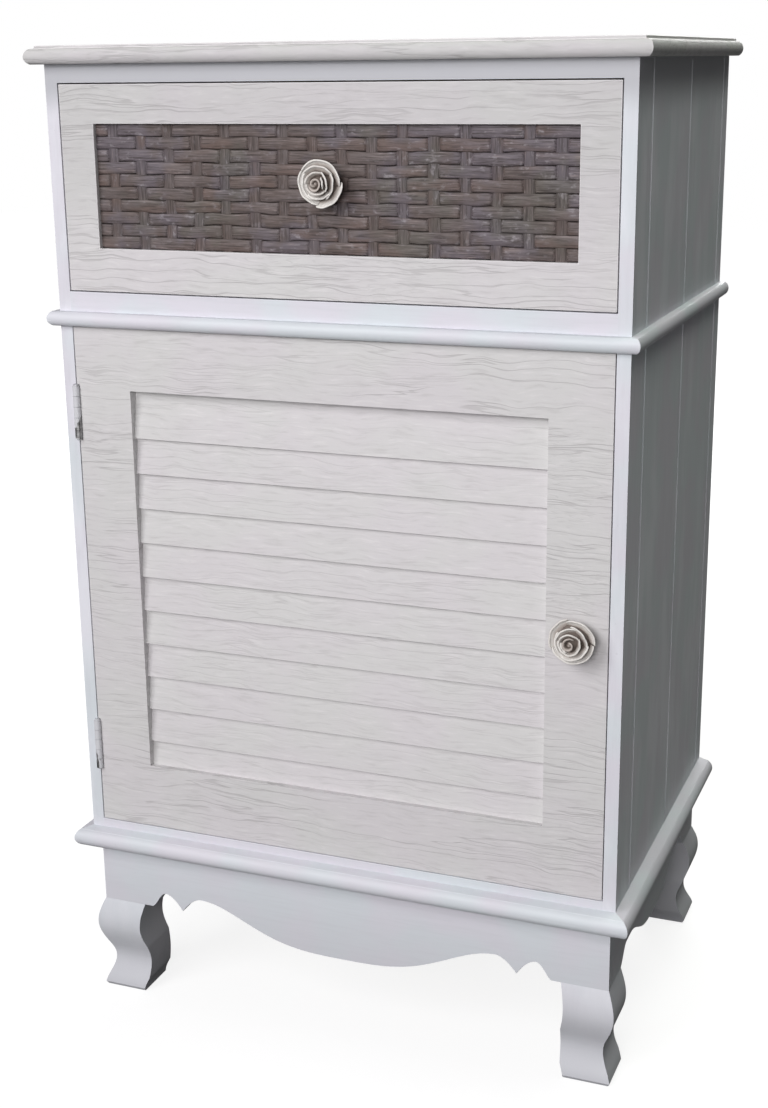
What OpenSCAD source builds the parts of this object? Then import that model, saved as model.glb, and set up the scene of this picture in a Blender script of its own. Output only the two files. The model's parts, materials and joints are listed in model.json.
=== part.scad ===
// Bedside pot cupboard: a carcass on four cabriole legs, a drawer with a woven front
// and a louvred door. Millimetres, +Z up, +Y to the back. The origin lies on the floor,
// at the centre of the outline, with the knobs counted in.

/* [Carcass] */
// Width over the side panels
body_w = 403; // [330:1:560]
// Depth from the face to the back
body_d = 282; // [240:1:400]
// Thickness of the side panels, whose front edges frame the drawer and the door
side_t = 9; // [8:0.5:14]
// Thickness of the back panel
back_t = 4; // [3:0.5:6]
// Depth of the rebate in the side panels that holds the back panel
back_rebate = 5; // [3:0.5:6]
// Thickness of the board between the drawer and the cupboard
divider_t = 9; // [6:0.5:14]
// Thickness of the cupboard floor
floor_t = 12; // [8:0.5:18]
// Height of the drawer opening
drawer_opening_h = 138; // [120:1:200]
// Height of the door opening
door_opening_h = 372; // [320:1:520]
// Height of the front rail under the top board
top_rail_h = 12; // [12:0.5:30]
// Height of the front rail between drawer and door
middle_rail_h = 23.5; // [18:0.5:40]
// Height of the front rail under the door
bottom_rail_h = 21; // [18:0.5:45]
// Height of the rear rail that the top board is screwed to
back_rail_h = 28; // [20:1:40]
// Gap around the drawer front and the door
reveal = 0.8; // [0.6:0.1:1.5]

/* [Side boarding] */
// Distance of the first groove from the face
groove_first = 38; // [20:1:60]
// Distance between grooves
groove_pitch = 112.5; // [60:0.5:140]
// Width of a groove at the surface
groove_w = 4; // [2:0.5:6]
// Depth of a groove
groove_depth = 1.8; // [1:0.1:3]

/* [Top board] */
// Thickness of the top board
top_t = 12; // [10:0.5:25]
// How far the top board stands out at the front and the sides
top_overhang = 10; // [4:0.5:25]
// Thickness of the flat lip above the rounded edge
top_lip_t = 2; // [1:0.5:3]
// How far the lip is set in from the rounded edge
top_lip_inset = 5.5; // [3:0.5:10]

/* [Mouldings] */
// Height of the rounded moulding below the drawer
waist_h = 10; // [8:0.5:14]
// How far the waist moulding stands out
waist_out = 7; // [4:0.5:12]
// Height of the moulding round the foot of the carcass
base_mould_h = 14.5; // [13:0.5:18]
// Height of the rounded nose of that moulding
base_step_h = 12.5; // [8:0.5:13.5]
// How far the base moulding stands out
base_out = 11; // [6:0.5:16]
// How far its sloped top stands out
base_slope_out = 7; // [4:0.5:9]

/* [Base and legs] */
// Height of the legs below the aprons
leg_h = 73.5; // [60:0.5:140]
// Width of a leg
leg_w = 34; // [28:1:44]
// Height of the aprons where the legs meet them
apron_h = 48; // [36:0.5:70]
// Thickness of the aprons
apron_t = 12; // [9:0.5:16]
// How far the aprons stand back from the carcass
base_inset = 4; // [2:0.5:8]
// How far the rear apron stands back from the carcass
base_inset_back = 0; // [0:0.5:12]
// How far the knee of a leg swells out
knee_out = 5; // [2:0.5:6]
// How far the ankle of a leg pulls in
ankle_in = 4; // [2:0.5:6]
// How far the toe of a leg turns out
toe_out = 3; // [1:0.5:5]
// Rise of the arches in the aprons
arch_rise = 12; // [8:0.5:20]
// Drop of the front apron's middle below the top of the legs
belly_drop = 15; // [8:0.5:25]
// Drop of the side aprons' middle below the top of the legs
side_belly_drop = 6.5; // [4:0.5:20]
// Width of the belly curve in the front apron
belly_w = 231; // [160:1:232]

/* [Drawer] */
// Thickness of the drawer front and of the door
front_t = 18; // [16:0.5:24]
// Width of the stiles of the drawer front
drawer_stile_w = 24.9; // [20:0.1:40]
// Height of the upper rail of the drawer front
drawer_rail_top_h = 25.5; // [18:0.1:35]
// Height of the lower rail of the drawer front
drawer_rail_bottom_h = 29; // [24:0.1:40]
// Length of the drawer box behind its front
drawer_box_l = 232; // [190:1:236]
// Height of the drawer sides
drawer_side_h = 105; // [80:1:112]
// Thickness of the drawer sides and back
drawer_side_t = 12; // [10:0.5:16]
// Thickness of the drawer bottom
drawer_bottom_t = 4; // [3:0.5:6]
// Height of the runners
runner_h = 12; // [8:0.5:16]
// Depth of the grooves that take the runners
runner_groove = 6; // [4:0.5:7]
// Play between drawer side and side panel
drawer_play = 2; // [1:0.25:4]

/* [Woven panel] */
// Depth of the weave below the face of the drawer front
weave_recess = 4; // [2:0.5:6]
// Width of the frame's lip over the edge of the weave
weave_lip = 6; // [4:0.5:8]
// Number of upright stakes
stake_count = 16; // [8:1:24]
// Distance of the outer stakes' middles from the edge of the window
stake_margin = 11.5; // [8:0.5:20]
// Width of a stake
stake_w = 7.5; // [4:0.5:9]
// Thickness of a stake
stake_t = 1.3; // [0.8:0.1:2]
// Number of rows of weavers
row_count = 10; // [6:1:12]
// Gap between rows
row_gap = 0.9; // [0.5:0.1:1.5]
// Thickness of a weaver
weaver_t = 1.1; // [0.8:0.1:1.6]

/* [Door] */
// Width of the door stiles
door_stile_w = 42; // [34:0.5:60]
// Height of the upper door rail
door_rail_top_h = 43; // [34:0.5:60]
// Height of the lower door rail
door_rail_bottom_h = 47.8; // [36:0.1:70]
// Number of slats
slat_count = 11; // [8:1:11]
// Distance between the lower edges of two slats
slat_pitch = 25.2; // [22:0.1:25.2]
// Height of the top slat that shows
slat_first = 34; // [26:0.5:36]
// Thickness of a slat
slat_t = 3.4; // [2.5:0.1:5]
// Height by which a slat covers the next one
slat_lap = 6; // [4:0.5:9]
// Depth of a slat's lower edge below the door's face
slat_recess = 3.5; // [2:0.5:6]
// Depth of the housings in the stiles that hold the slats' ends
slat_housing = 5; // [3:0.5:8]

/* [Knobs] */
// Radius of a rose knob over its petals
knob_r = 16; // [14:0.5:18]
// Height of a rose knob
knob_h = 22; // [18:0.5:28]
// Height of the drawer knob above the middle of the weave
drawer_knob_up = 5; // [-8:0.5:8]
// Radius of the screw that holds a knob
knob_screw_r = 1.95; // [1.5:0.05:2.4]
// Length of that screw inside a knob
knob_screw_reach = 9; // [6:0.5:11]

/* [Hinges and catch] */
// Length of a hinge
hinge_l = 38; // [30:1:50]
// Distance from the end of the door to the hinge
hinge_inset = 41; // [24:1:60]
// Thickness of a hinge leaf
leaf_t = 0.9; // [0.8:0.05:1.2]
// Gap between the two leaves
leaf_gap = 0.3; // [0.3:0.05:0.5]
// Width of a leaf behind the barrel
leaf_w = 14; // [11:0.5:15]
// Radius of the hinge barrel
barrel_r = 2.5; // [2.2:0.1:3]
// Distance of the hinge axis in front of the face
hinge_proud = 1; // [0.8:0.1:1.5]
// Radius of the hinge pin
pin_r = 1.3; // [1:0.05:1.5]
// Greatest thickness of the magnetic catch
catch_t = 12; // [10:0.5:14]
// Length of the magnetic catch
catch_l = 40; // [32:1:50]
// Depth of the magnetic catch
catch_d = 14; // [11:0.5:18]

/* [Fits] */
// Play of a sliding piece on its runner
slide_play = 0.3; // [0.3:0.05:0.6]
// Play of a pin or screw in its hole
pin_play = 0.05; // [0.02:0.01:0.08]
// Play between pieces that are laid in one another
lay_play = 0.1; // [0.05:0.05:0.2]

/* [Hidden] */

$fn = 48;
eps = 0.01;
cut = 5;

paint = [0.84, 0.86, 0.90];
crackle = [0.83, 0.82, 0.80];
bare_wood = [0.78, 0.66, 0.50];
rattan = [0.42, 0.37, 0.36];
resin = [0.80, 0.77, 0.72];
steel = [0.66, 0.67, 0.68];
catch_white = [0.88, 0.88, 0.86];

// Faces of the carcass
half_w = body_w / 2;
inner_half = half_w - side_t;
knee_reach = max(0, knee_out - base_inset_back);
face_y = (knob_h - body_d - knee_reach) / 2;
back_y = face_y + body_d;
back_in_y = back_y - back_t;

// Heights of the carcass, from the floor up
carcass_z = leg_h + apron_h;
door_open_z = carcass_z + bottom_rail_h;
waist_z = door_open_z + door_opening_h;
drawer_open_z = waist_z + middle_rail_h;
top_rail_z = drawer_open_z + drawer_opening_h;
top_z = top_rail_z + top_rail_h;
floor_z = door_open_z - floor_t;
divider_z = drawer_open_z - divider_t;

// Base frame, whose corners hold the legs' posts
rail_d = base_inset + apron_t;
apron_half = half_w - base_inset;
apron_front_y = face_y + base_inset;
apron_back_y = back_y - base_inset_back;
apron_mid_y = (apron_front_y + apron_back_y) / 2;
apron_side_half = (apron_back_y - apron_front_y) / 2;

// Drawer front
front_half = inner_half - reveal;
drawer_z = drawer_open_z + reveal;
drawer_top_z = top_rail_z - reveal;
drawer_window_half = front_half - drawer_stile_w;
window_z = drawer_z + drawer_rail_bottom_h;
window_top_z = drawer_top_z - drawer_rail_top_h;
front_back_y = face_y + front_t;

// Weave
weave_swing = (weaver_t + stake_t) / 2 + lay_play / 2;
weave_half_t = weave_swing + weaver_t / 2;
weave_y = face_y + weave_recess + weave_half_t;
backing_y = weave_y + weave_half_t;
row_pitch = (window_top_z - window_z) / row_count;
stake_pitch = 2 * (drawer_window_half - stake_margin) / (stake_count - 1);

// Drawer box
box_drop = 4.5;
bottom_rise = 5;
runner_front_gap = 4;
runner_back_gap = 6;
box_half = inner_half - drawer_play;
box_back_y = front_back_y + drawer_box_l;
box_z = drawer_open_z + (drawer_opening_h - drawer_side_h) / 2 - box_drop;
box_top_z = box_z + drawer_side_h;
bottom_z = box_z + bottom_rise;
runner_z = box_z + drawer_side_h / 2 - runner_h / 2;
runner_half = box_half - runner_groove + 2 * slide_play;
runner_y = front_back_y + runner_front_gap;
runner_end_y = back_in_y - runner_back_gap;

// Door
door_z = door_open_z + reveal;
door_top_z = waist_z - reveal;
door_window_half = front_half - door_stile_w;
door_window_z = door_z + door_rail_bottom_h;
door_window_top_z = door_top_z - door_rail_top_h;
slat_step = slat_t + lay_play;
slat_lean = slat_step / slat_pitch;

// Hinges
hinge_x = -(inner_half - reveal / 2);
hinge_y = face_y - hinge_proud;
hinge_z_upper = door_top_z - hinge_inset - hinge_l / 2;
hinge_z_lower = door_z + hinge_inset + hinge_l / 2;
barrel_room = barrel_r + slide_play;
leaf_y = hinge_y + barrel_room + lay_play;
leaf_end_y = leaf_y + leaf_w;
leaf_screw_z = hinge_l / 3.4;
tip_h = 0.6;
knuckle_count = 5;

// Knob and catch places
drawer_knob_z = (window_z + window_top_z) / 2 + drawer_knob_up;
door_knob_x = front_half - door_stile_w / 2;
door_knob_z = (door_z + door_top_z) / 2;
strike_t = 1;
catch_gap = 0.5;
catch_y = front_back_y + strike_t + catch_gap;

// Screws
screw_r = 1.4;
screw_head_r = 2.6;
screw_head_h = 0.8;

// A box between two opposite corners
module block(lo, hi) {
    translate(lo) cube(hi - lo);
}

// A countersunk wood screw along +Z, with its head's face at z = 0
module wood_screw(length, play = 0) {
    translate([0, 0, -eps * (play > 0 ? 1 : 0)])
        cylinder(h = screw_head_h + play, r1 = screw_head_r + play, r2 = screw_r + play);
    cylinder(h = length + play, r = screw_r + play);
}

// ---- Carcass ----

// Half-round edge of a board: 2D, out along +X, up along +Y
module nosing(out, high, bulge) {
    intersection() {
        translate([-cut, 0]) square([out + cut, high]);
        union() {
            translate([out - bulge, high / 2]) circle(r = bulge, $fn = 64);
            translate([-cut, 0]) square([out - bulge + cut, high]);
        }
    }
}

// A moulded edge on both sides of a board that is w wide
module nosed_section(w, out, high, bulge, both = true) {
    translate([w / 2, 0]) nosing(out, high, bulge);
    translate([-w / 2, 0]) square([w, high]);
    if (both)
        mirror([1, 0]) translate([w / 2, 0]) nosing(out, high, bulge);
}

module top_board() {
    edge_t = top_t - top_lip_t;
    bulge = edge_t * 0.56;
    lip_half = half_w + top_overhang - top_lip_inset;
    color(crackle)
        difference() {
            union() {
                intersection() {
                    translate([0, back_y, top_z])
                        rotate([90, 0, 0])
                            linear_extrude(body_d + top_overhang + cut)
                                nosed_section(body_w, top_overhang, edge_t, bulge);
                    translate([-half_w - top_overhang - cut, (face_y + back_y) / 2, top_z])
                        rotate([90, 0, 90])
                            linear_extrude(body_w + 2 * (top_overhang + cut))
                                mirror([1, 0])
                                    nosed_section(body_d, top_overhang, edge_t, bulge, false);
                }
                block([-lip_half, face_y - top_overhang + top_lip_inset, top_z + edge_t],
                      [lip_half, back_y, top_z + top_t]);
            }
            top_screw_places() wood_screw(top_screw_l, pin_play);
        }
}

top_screw_l = 19;

// Screws that rise through the top rails into the top board
module top_screw_places() {
    for (x = [-half_w / 2, half_w / 2], y = [face_y + rail_d / 2, back_in_y - rail_d / 2])
        translate([x, y, top_rail_z]) children();
}

module top_screws() {
    color(steel) top_screw_places() wood_screw(top_screw_l);
}

// Right-hand side panel: V-grooves outside, a rebate for the back panel inside
module side_panel() {
    difference() {
        block([inner_half, face_y, carcass_z], [half_w, back_y, top_z]);
        for (y = [face_y + groove_first : groove_pitch : back_y - groove_w])
            translate([half_w, y, carcass_z - cut])
                linear_extrude(top_z - carcass_z + 2 * cut)
                    polygon([[-groove_depth, 0], [eps, -groove_w / 2], [eps, groove_w / 2]]);
        block([inner_half - cut, back_in_y, carcass_z - cut],
              [inner_half + back_rebate, back_y + cut, top_z + cut]);
        runner_screw_places() wood_screw(runner_screw_l, pin_play);
    }
}

module side_panel_left() {
    color(paint)
        difference() {
            mirror([1, 0, 0]) side_panel();
            hinge_places() frame_leaf_room();
            hinge_places() leaf_screw_places(-1) wood_screw(leaf_screw_l, pin_play);
        }
}

module side_panel_right() {
    color(paint)
        difference() {
            side_panel();
            catch_screw_places() wood_screw(catch_screw_l, pin_play);
        }
}

module back_panel() {
    color(bare_wood)
        block([-inner_half - back_rebate, back_in_y, carcass_z],
              [inner_half + back_rebate, back_y, top_z]);
}

module front_rail(low, high) {
    block([-inner_half, face_y, low], [inner_half, face_y + rail_d, high]);
}

module front_rail_top() {
    color(paint)
        difference() {
            front_rail(top_rail_z, top_z);
            top_screw_places() wood_screw(top_screw_l, pin_play);
        }
}

module front_rail_middle() {
    color(paint) front_rail(waist_z, drawer_open_z);
}

module front_rail_bottom() {
    color(paint) front_rail(carcass_z, door_open_z);
}

module back_rail_top() {
    color(bare_wood)
        difference() {
            block([-inner_half, back_in_y - rail_d, top_z - back_rail_h],
                  [inner_half, back_in_y, top_z]);
            top_screw_places() wood_screw(top_screw_l, pin_play);
            top_screw_places()
                translate([0, 0, -back_rail_h]) cylinder(h = back_rail_h, r = screw_head_r + 1);
        }
}

module divider_board() {
    color(bare_wood)
        block([-inner_half, face_y + rail_d, divider_z], [inner_half, back_in_y, drawer_open_z]);
}

module floor_board() {
    color(bare_wood)
        block([-inner_half, face_y + rail_d, floor_z], [inner_half, back_in_y, door_open_z]);
}

// ---- Mouldings ----

// A moulding along the front, mitred at both ends; its 2D section is the child
module front_moulding(z, out) {
    reach = half_w + out;
    translate([0, face_y, z])
        intersection() {
            translate([-reach, 0, 0])
                rotate([90, 0, 90])
                    linear_extrude(2 * reach) mirror([1, 0]) children();
            translate([0, 0, -cut])
                linear_extrude(base_mould_h + 2 * cut)
                    polygon([[-half_w, 0], [half_w, 0], [reach, -out], [-reach, -out]]);
        }
}

// A moulding along the right side, mitred at the front and flush at the back
module side_moulding(z, out) {
    translate([half_w, 0, z])
        intersection() {
            translate([0, back_y, 0])
                rotate([90, 0, 0])
                    linear_extrude(body_d + out) children();
            translate([0, 0, -cut])
                linear_extrude(base_mould_h + 2 * cut)
                    polygon([[0, face_y], [out, face_y - out], [out, back_y], [0, back_y]]);
        }
}

module waist_section() {
    intersection() {
        nosing(waist_out, waist_h, waist_h * 0.56);
        square([waist_out, waist_h]);
    }
}

quirk = 0.3;

module base_section() {
    intersection() {
        nosing(base_out, base_step_h, base_step_h * 0.58);
        square([base_out, base_step_h]);
    }
    polygon([
        [0, base_step_h], [base_slope_out, base_step_h],
        [base_slope_out, base_step_h + quirk], [quirk, base_mould_h], [0, base_mould_h]
    ]);
}

module waist_moulding_front() {
    color(paint) front_moulding(waist_z, waist_out) waist_section();
}

module waist_moulding_right() {
    color(paint) side_moulding(waist_z, waist_out) waist_section();
}

module waist_moulding_left() {
    color(paint) mirror([1, 0, 0]) side_moulding(waist_z, waist_out) waist_section();
}

module base_moulding_front() {
    color(paint) front_moulding(carcass_z, base_out) base_section();
}

module base_moulding_right() {
    color(paint) side_moulding(carcass_z, base_out) base_section();
}

module base_moulding_left() {
    color(paint) mirror([1, 0, 0]) side_moulding(carcass_z, base_out) base_section();
}

// ---- Aprons and legs ----

arch_steps = 8;
belly_steps = 22;
arch_w = 11.1;
cusp_w = 13.9;
side_arch_w = 15;
arch_offset = 7.3;
side_arch_offset = 1;
apron_flat = leg_w + arch_offset;
side_flat = leg_w + side_arch_offset;
arch_power = 1.4;
cusp_power = 1.8;
belly_power = 1.6;

// Height of an arch at the share t of the way from its foot to its peak
function arch_height(t) = arch_rise * pow(sin(90 * t), arch_power);

// Height beside a peak, at the share t of the way from there to the cusp
function cusp_height(t) = arch_rise * (1 - pow(t, cusp_power));

// Lower edge of the front apron from its end to its middle: [distance from the end, height]
function front_edge(half) =
    let (peak = apron_flat + arch_w, cusp = peak + cusp_w, shoulder = half - belly_w / 2)
    concat(
        [[0, 0], [apron_flat, 0]],
        [for (i = [1 : arch_steps]) let (t = i / arch_steps)
            [apron_flat + arch_w * t, arch_height(t)]],
        [for (i = [1 : arch_steps]) let (t = i / arch_steps)
            [peak + cusp_w * t, cusp_height(t)]],
        [for (i = [1 : arch_steps]) let (t = 1 - i / arch_steps)
            [shoulder - (shoulder - cusp) * t, cusp_height(t)]],
        [for (i = [1 : belly_steps]) let (t = 1 - i / belly_steps)
            [half - belly_w / 2 * t, belly_height(t, belly_drop)]]
    );

// Lower edge of a side apron, which has one arch at each end of its belly
function side_edge(half) =
    let (peak = side_flat + side_arch_w, shoulder = peak + cusp_w)
    concat(
        [[0, 0], [side_flat, 0]],
        [for (i = [1 : arch_steps]) let (t = i / arch_steps)
            [side_flat + side_arch_w * t, arch_height(t)]],
        [for (i = [0 : belly_steps]) let (t = 1 - i / belly_steps)
            [half - (half - shoulder) * t, belly_height(t, side_belly_drop)]]
    );

// Height of a belly curve at the share t of its half width
function belly_height(t, drop) =
    -drop + (arch_rise + drop) * (1 - cos(180 * pow(t, belly_power))) / 2;

// A board with a shaped lower edge, as wide as twice half, along X and facing -Y
module shaped_board(half, edge, thick, high) {
    n = len(edge);
    translate([0, thick, 0])
        rotate([90, 0, 0])
            linear_extrude(thick)
                polygon(concat(
                    [for (p = edge) [p[0] - half, p[1]]],
                    [for (i = [n - 2 : -1 : 0]) [half - edge[i][0], edge[i][1]]],
                    [[half, high], [-half, high]]
                ));
}

module apron_front() {
    color(paint)
        translate([0, apron_front_y, leg_h])
            shaped_board(apron_half, front_edge(apron_half), apron_t, apron_h);
}

// Right-hand side apron, between the front and back aprons
module side_apron() {
    intersection() {
        translate([apron_half, apron_mid_y, leg_h])
            rotate([0, 0, 90])
                shaped_board(apron_side_half, side_edge(apron_side_half), apron_t, apron_h);
        block([0, apron_front_y + apron_t, 0], [half_w, apron_back_y - apron_t, carcass_z]);
    }
}

module apron_right() {
    color(paint) side_apron();
}

module apron_left() {
    color(paint) mirror([1, 0, 0]) side_apron();
}

module apron_back() {
    color(paint)
        block([-apron_half, apron_back_y - apron_t, leg_h], [apron_half, apron_back_y, carcass_z]);
}

leg_steps = 36;
foot_bevel = 1.6;
foot_bevel_h = 2.4;
inner_knee = 0.6;
inner_ankle = 0.15;

// How far a leg's face stands out at height z: out at the knee, in at the ankle, out at the toe
function leg_bow(z, knee, ankle, toe) =
    let (shin = leg_h * 0.5, instep = leg_h * 0.135)
    z > shin ? knee * sin(180 * (leg_h - z) / (leg_h - shin)) :
    z > instep ? -ankle * sin(180 * (shin - z) / (shin - instep)) :
    toe * sin(90 * (instep - z) / instep);

// Side view of a leg: 2D, out along -X, up along +Y, with the apron's face at x = 0
module leg_outline() {
    polygon(concat(
        [[foot_bevel - leg_bow(0, knee_out, ankle_in, toe_out), 0]],
        [for (i = [1 : leg_steps])
            let (z = foot_bevel_h + (leg_h - foot_bevel_h) * (i - 1) / (leg_steps - 1))
            [-leg_bow(z, knee_out, ankle_in, toe_out), z]],
        [for (i = [leg_steps : -1 : 0]) let (z = leg_h * i / leg_steps)
            [leg_w - leg_bow(z, knee_out * inner_knee, ankle_in * inner_ankle, toe_out), z]]
    ));
}

// A leg whose outer corner stands at the origin and faces -X and -Y, with its post above
module leg() {
    post_w = leg_w - apron_t;
    intersection() {
        translate([0, 2 * leg_w, 0]) rotate([90, 0, 0]) linear_extrude(3 * leg_w) leg_outline();
        translate([-leg_w, 0, 0]) rotate([90, 0, 90]) linear_extrude(3 * leg_w) leg_outline();
    }
    block([apron_t, apron_t, leg_h - eps], [leg_w, leg_w, floor_z]);
}

module leg_front_left() {
    color(paint) translate([-apron_half, apron_front_y, 0]) leg();
}

module leg_front_right() {
    color(paint) translate([apron_half, apron_front_y, 0]) mirror([1, 0, 0]) leg();
}

module leg_back_left() {
    color(paint) translate([-apron_half, apron_back_y, 0]) mirror([0, 1, 0]) leg();
}

module leg_back_right() {
    color(paint) translate([apron_half, apron_back_y, 0]) rotate([0, 0, 180]) leg();
}

// ---- Runners and catch ----

runner_screw_l = 13;
runner_screw_share = [0.15, 0.85];

// Screws from the right-hand runner's inner face into the side panel, along +X
module runner_screw_places() {
    for (share = runner_screw_share)
        translate([runner_half, runner_y + (runner_end_y - runner_y) * share, runner_z + runner_h / 2])
            rotate([0, 90, 0]) children();
}

module runner() {
    difference() {
        block([runner_half, runner_y, runner_z], [inner_half, runner_end_y, runner_z + runner_h]);
        runner_screw_places() wood_screw(runner_screw_l, pin_play);
    }
}

module drawer_runner_right() {
    color(bare_wood) runner();
}

module drawer_runner_left() {
    color(bare_wood) mirror([1, 0, 0]) runner();
}

module runner_screws() {
    color(steel) {
        runner_screw_places() wood_screw(runner_screw_l);
        mirror([1, 0, 0]) runner_screw_places() wood_screw(runner_screw_l);
    }
}

catch_screw_l = 6;
catch_base_t = 2.5;
catch_ear = 8;
catch_wall = 3;
catch_base_back = 1;
pole_t = 1.2;
pole_out = 0.2;

// Screws through the catch's ears into the right side panel, along +X
module catch_screw_places() {
    for (side = [-1, 1])
        translate([inner_half - catch_base_t, catch_y + catch_d / 2,
                   door_knob_z + side * (catch_l - catch_ear) / 2])
            rotate([0, 90, 0]) children();
}

// Magnetic catch on the right side panel: a housing with two ears, and two pole plates
module magnet_catch() {
    low = door_knob_z - catch_l / 2;
    high = door_knob_z + catch_l / 2;
    body_low = low + catch_ear;
    body_high = high - catch_ear;
    slot_low = body_low + catch_wall;
    slot_high = body_high - catch_wall;
    color(catch_white)
        difference() {
            union() {
                block([inner_half - catch_base_t, catch_y + catch_base_back, low],
                      [inner_half, catch_y + catch_d, high]);
                block([inner_half - catch_t, catch_y, body_low], [inner_half, catch_y + catch_d, body_high]);
            }
            block([inner_half - catch_t + catch_wall, catch_y - cut, slot_low],
                  [inner_half - catch_wall, catch_y + catch_d - catch_wall, slot_high]);
            catch_screw_places() wood_screw(catch_screw_l, pin_play);
        }
    color(steel)
        for (x = [inner_half - catch_t + catch_wall, inner_half - catch_wall - pole_t])
            block([x, catch_y - pole_out, slot_low], [x + pole_t, catch_y + catch_d - catch_wall, slot_high]);
}

module catch_screws() {
    color(steel) catch_screw_places() wood_screw(catch_screw_l);
}

// ---- Hinges ----

leaf_screw_l = 6;
knuckle_l = hinge_l / knuckle_count;
knuckle_gap = slide_play;

module hinge_places() {
    for (z = [hinge_z_upper, hinge_z_lower])
        translate([hinge_x, hinge_y, z]) children();
}

// Screws of one leaf, as seen from the hinge axis; side is -1 in the frame and +1 in the door
module leaf_screw_places(side) {
    for (z = [-leaf_screw_z, leaf_screw_z])
        translate([side * leaf_gap / 2, leaf_y - hinge_y + leaf_w / 2, z])
            rotate([0, side * 90, 0]) children();
}

// Room for a leaf and the barrel in the wood beside the gap
module leaf_room(side) {
    x = side * leaf_gap / 2;
    far = side * (leaf_gap / 2 + leaf_t);
    block([min(x, far), 0, -hinge_l / 2], [max(x, far), leaf_end_y - hinge_y, hinge_l / 2]);
    reach = hinge_l / 2 + tip_h + slide_play;
    translate([0, 0, -reach]) cylinder(h = 2 * reach, r = barrel_room);
}

module frame_leaf_room() {
    leaf_room(-1);
}

module door_leaf_room() {
    leaf_room(1);
}

// One leaf with its knuckles on the hinge axis
module hinge_leaf(side, knuckles) {
    near = leaf_gap / 2;
    low_x = side > 0 ? near : -near - leaf_t;
    difference() {
        union() {
            block([low_x, leaf_y - hinge_y, -hinge_l / 2],
                  [low_x + leaf_t, leaf_end_y - hinge_y, hinge_l / 2]);
            for (k = knuckles)
                translate([0, 0, -hinge_l / 2 + k * knuckle_l + knuckle_gap / 2]) {
                    cylinder(h = knuckle_l - knuckle_gap, r = barrel_r);
                    block([low_x, 0, 0],
                          [low_x + leaf_t, leaf_y - hinge_y + eps, knuckle_l - knuckle_gap]);
                }
        }
        translate([0, 0, -hinge_l]) cylinder(h = 2 * hinge_l, r = pin_r + pin_play);
        leaf_screw_places(side) wood_screw(leaf_screw_l, pin_play);
    }
}

// A pin whose ends are riveted over the outer knuckles
module hinge_pin() {
    translate([0, 0, -hinge_l / 2]) cylinder(h = hinge_l, r = pin_r);
    for (side = [0, 1])
        mirror([0, 0, side])
            translate([0, 0, hinge_l / 2]) cylinder(h = tip_h, r1 = barrel_r - tip_h, r2 = pin_r);
}

module at_hinge(z) {
    translate([hinge_x, hinge_y, z]) children();
}

module hinge_frame_leaf_upper() {
    color(steel) at_hinge(hinge_z_upper) hinge_leaf(-1, [0, 2, 4]);
}

module hinge_frame_leaf_lower() {
    color(steel) at_hinge(hinge_z_lower) hinge_leaf(-1, [0, 2, 4]);
}

module hinge_door_leaf_upper() {
    color(steel) at_hinge(hinge_z_upper) hinge_leaf(1, [1, 3]);
}

module hinge_door_leaf_lower() {
    color(steel) at_hinge(hinge_z_lower) hinge_leaf(1, [1, 3]);
}

module hinge_pin_upper() {
    color(steel) at_hinge(hinge_z_upper) hinge_pin();
}

module hinge_pin_lower() {
    color(steel) at_hinge(hinge_z_lower) hinge_pin();
}

module hinge_frame_screws() {
    color(steel) hinge_places() leaf_screw_places(-1) wood_screw(leaf_screw_l);
}

// ---- Drawer ----

// Space behind the frame's lip that holds the weave and its backing board
module weave_seat() {
    block([-drawer_window_half - weave_lip, face_y + weave_recess, window_z - weave_lip],
          [drawer_window_half + weave_lip, front_back_y + cut, window_top_z + weave_lip]);
}

module drawer_rail_top() {
    color(crackle)
        difference() {
            block([-drawer_window_half, face_y, window_top_z],
                  [drawer_window_half, front_back_y, drawer_top_z]);
            weave_seat();
        }
}

module drawer_rail_bottom() {
    color(crackle)
        difference() {
            block([-drawer_window_half, face_y, drawer_z], [drawer_window_half, front_back_y, window_z]);
            weave_seat();
        }
}

module drawer_stile() {
    difference() {
        block([drawer_window_half, face_y, drawer_z], [front_half, front_back_y, drawer_top_z]);
        weave_seat();
    }
}

module drawer_stile_right() {
    color(crackle) drawer_stile();
}

module drawer_stile_left() {
    color(crackle) mirror([1, 0, 0]) drawer_stile();
}

function stake_x(i) = (i - (stake_count - 1) / 2) * stake_pitch;

module wicker_stakes() {
    color(rattan)
        for (i = [0 : stake_count - 1])
            block([stake_x(i) - stake_w / 2, weave_y - stake_t / 2, window_z - weave_lip],
                  [stake_x(i) + stake_w / 2, weave_y + stake_t / 2, window_top_z + weave_lip]);
}

bend_steps = 4;
weaver_bend = 4;
weaver_ease = 0.4;

// One dip behind a stake, from the front and back to it
function weaver_dip(x, half) = concat(
    [for (k = [0 : bend_steps])
        [x - half - weaver_bend * (1 - k / bend_steps), -weave_swing * cos(180 * k / bend_steps)]],
    [for (k = [0 : bend_steps])
        [x + half + weaver_bend * k / bend_steps, weave_swing * cos(180 * k / bend_steps)]]
);

// Centre line of a weaver, which lies in front and dips behind every second stake from first on
function weaver_line(first) =
    let (end = drawer_window_half + weave_lip, half = stake_w / 2 + weaver_ease)
    concat(
        [[-end, -weave_swing]],
        [for (i = [first : 2 : stake_count - 1]) each weaver_dip(stake_x(i), half)],
        [[end, -weave_swing]]
    );

module weaver(first) {
    line = weaver_line(first);
    n = len(line);
    linear_extrude(row_pitch - row_gap)
        polygon(concat(
            [for (p = line) [p[0], p[1] - weaver_t / 2]],
            [for (i = [n - 1 : -1 : 0]) [line[i][0], line[i][1] + weaver_t / 2]]
        ));
}

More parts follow.
